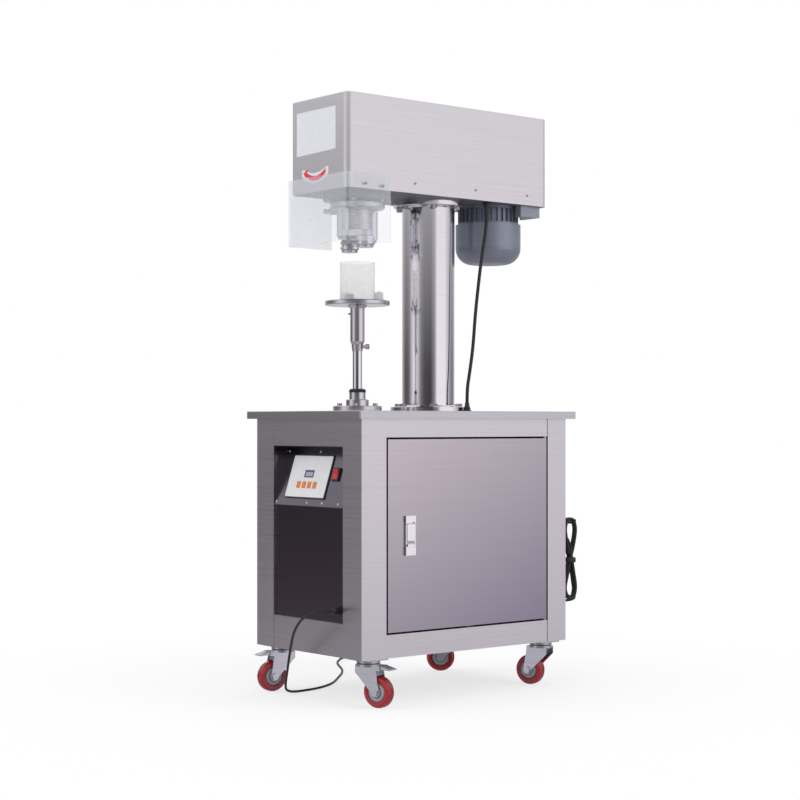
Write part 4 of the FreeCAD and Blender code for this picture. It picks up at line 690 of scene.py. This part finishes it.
for element, (bearing, grey) in zip(elements, stops):
    element.position = bearing / 360 + 0.5
    element.color = (grey, grey * 0.955, grey * 1.02, 1)
tree.links.new(turn, studio.inputs["Fac"])
high = tree.nodes.new("ShaderNodeMapRange")
high.inputs["From Min"].default_value = 0.03
high.inputs["From Max"].default_value = 0.24
tree.links.new(split.outputs[2], high.inputs["Value"])
lift = tree.nodes.new("ShaderNodeMix")
lift.data_type = "RGBA"
tree.links.new(high.outputs[0], lift.inputs[0])
tree.links.new(studio.outputs["Color"], lift.inputs[6])
lift.inputs[7].default_value = (0.80, 0.79, 0.82, 1)
low = tree.nodes.new("ShaderNodeMapRange")
low.inputs["From Min"].default_value = -0.06
low.inputs["From Max"].default_value = -0.22
tree.links.new(split.outputs[2], low.inputs["Value"])
ground = tree.nodes.new("ShaderNodeMix")
ground.data_type = "RGBA"
tree.links.new(low.outputs[0], ground.inputs[0])
tree.links.new(lift.outputs[2], ground.inputs[6])
ground.inputs[7].default_value = (0.42, 0.40, 0.44, 1)
glossy_sky = tree.nodes.new("ShaderNodeBackground")
tree.links.new(ground.outputs[2], glossy_sky.inputs["Color"])
plain_sky = tree.nodes.new("ShaderNodeBackground")
plain_sky.inputs["Color"].default_value = (1, 1, 1, 1)
plain_sky.inputs["Strength"].default_value = 0.55
white_sky = tree.nodes.new("ShaderNodeBackground")
white_sky.inputs["Color"].default_value = (1, 1, 1, 1)
first = tree.nodes.new("ShaderNodeMixShader")
tree.links.new(path.outputs["Is Glossy Ray"], first.inputs[0])
tree.links.new(plain_sky.outputs[0], first.inputs[1])
tree.links.new(glossy_sky.outputs[0], first.inputs[2])
second = tree.nodes.new("ShaderNodeMixShader")
seen = wmath("MAXIMUM", path.outputs["Is Camera Ray"], path.outputs["Is Transmission Ray"])
tree.links.new(seen, second.inputs[0])
tree.links.new(first.outputs[0], second.inputs[1])
tree.links.new(white_sky.outputs[0], second.inputs[2])
tree.links.new(second.outputs[0], out.inputs["Surface"])

camera_data = bpy.data.cameras.new("photo_camera")
camera_data.lens = 81.0
camera_data.sensor_width = 36.0
camera_data.shift_y = 0.0286
camera_data.clip_end = 100.0
camera = bpy.data.objects.new("photo_camera", camera_data)
bpy.context.collection.objects.link(camera)
camera.location = (3.7205, -3.106, 0.7114)
camera.rotation_euler = Vector((-0.7727, 0.6347, 0.0)).to_track_quat("-Z", "Y").to_euler()
bpy.context.scene.camera = camera
bpy.context.scene.view_settings.view_transform = "Standard"


def softbox(name, place, target, size, power):
    data = bpy.data.lights.new(name, "AREA")
    data.shape = "RECTANGLE"
    data.size, data.size_y = size
    data.energy = power
    data.specular_factor = 0.0
    lamp = bpy.data.objects.new(name, data)
    lamp.visible_glossy = False
    bpy.context.collection.objects.link(lamp)
    lamp.location = place
    lamp.rotation_euler = (Vector(target) - Vector(place)).to_track_quat("-Z", "Y").to_euler()
    return lamp


softbox("key_box", (3.4, 1.6, 2.6), (0, 0, 0.8), (2.2, 2.2), 60)
softbox("fill_box", (-1.2, -3.4, 2.4), (0, 0, 0.8), (2.4, 2.0), 40)
softbox("top_box", (0.0, 0.0, 3.4), (0, 0, 0), (2.6, 2.6), 35)
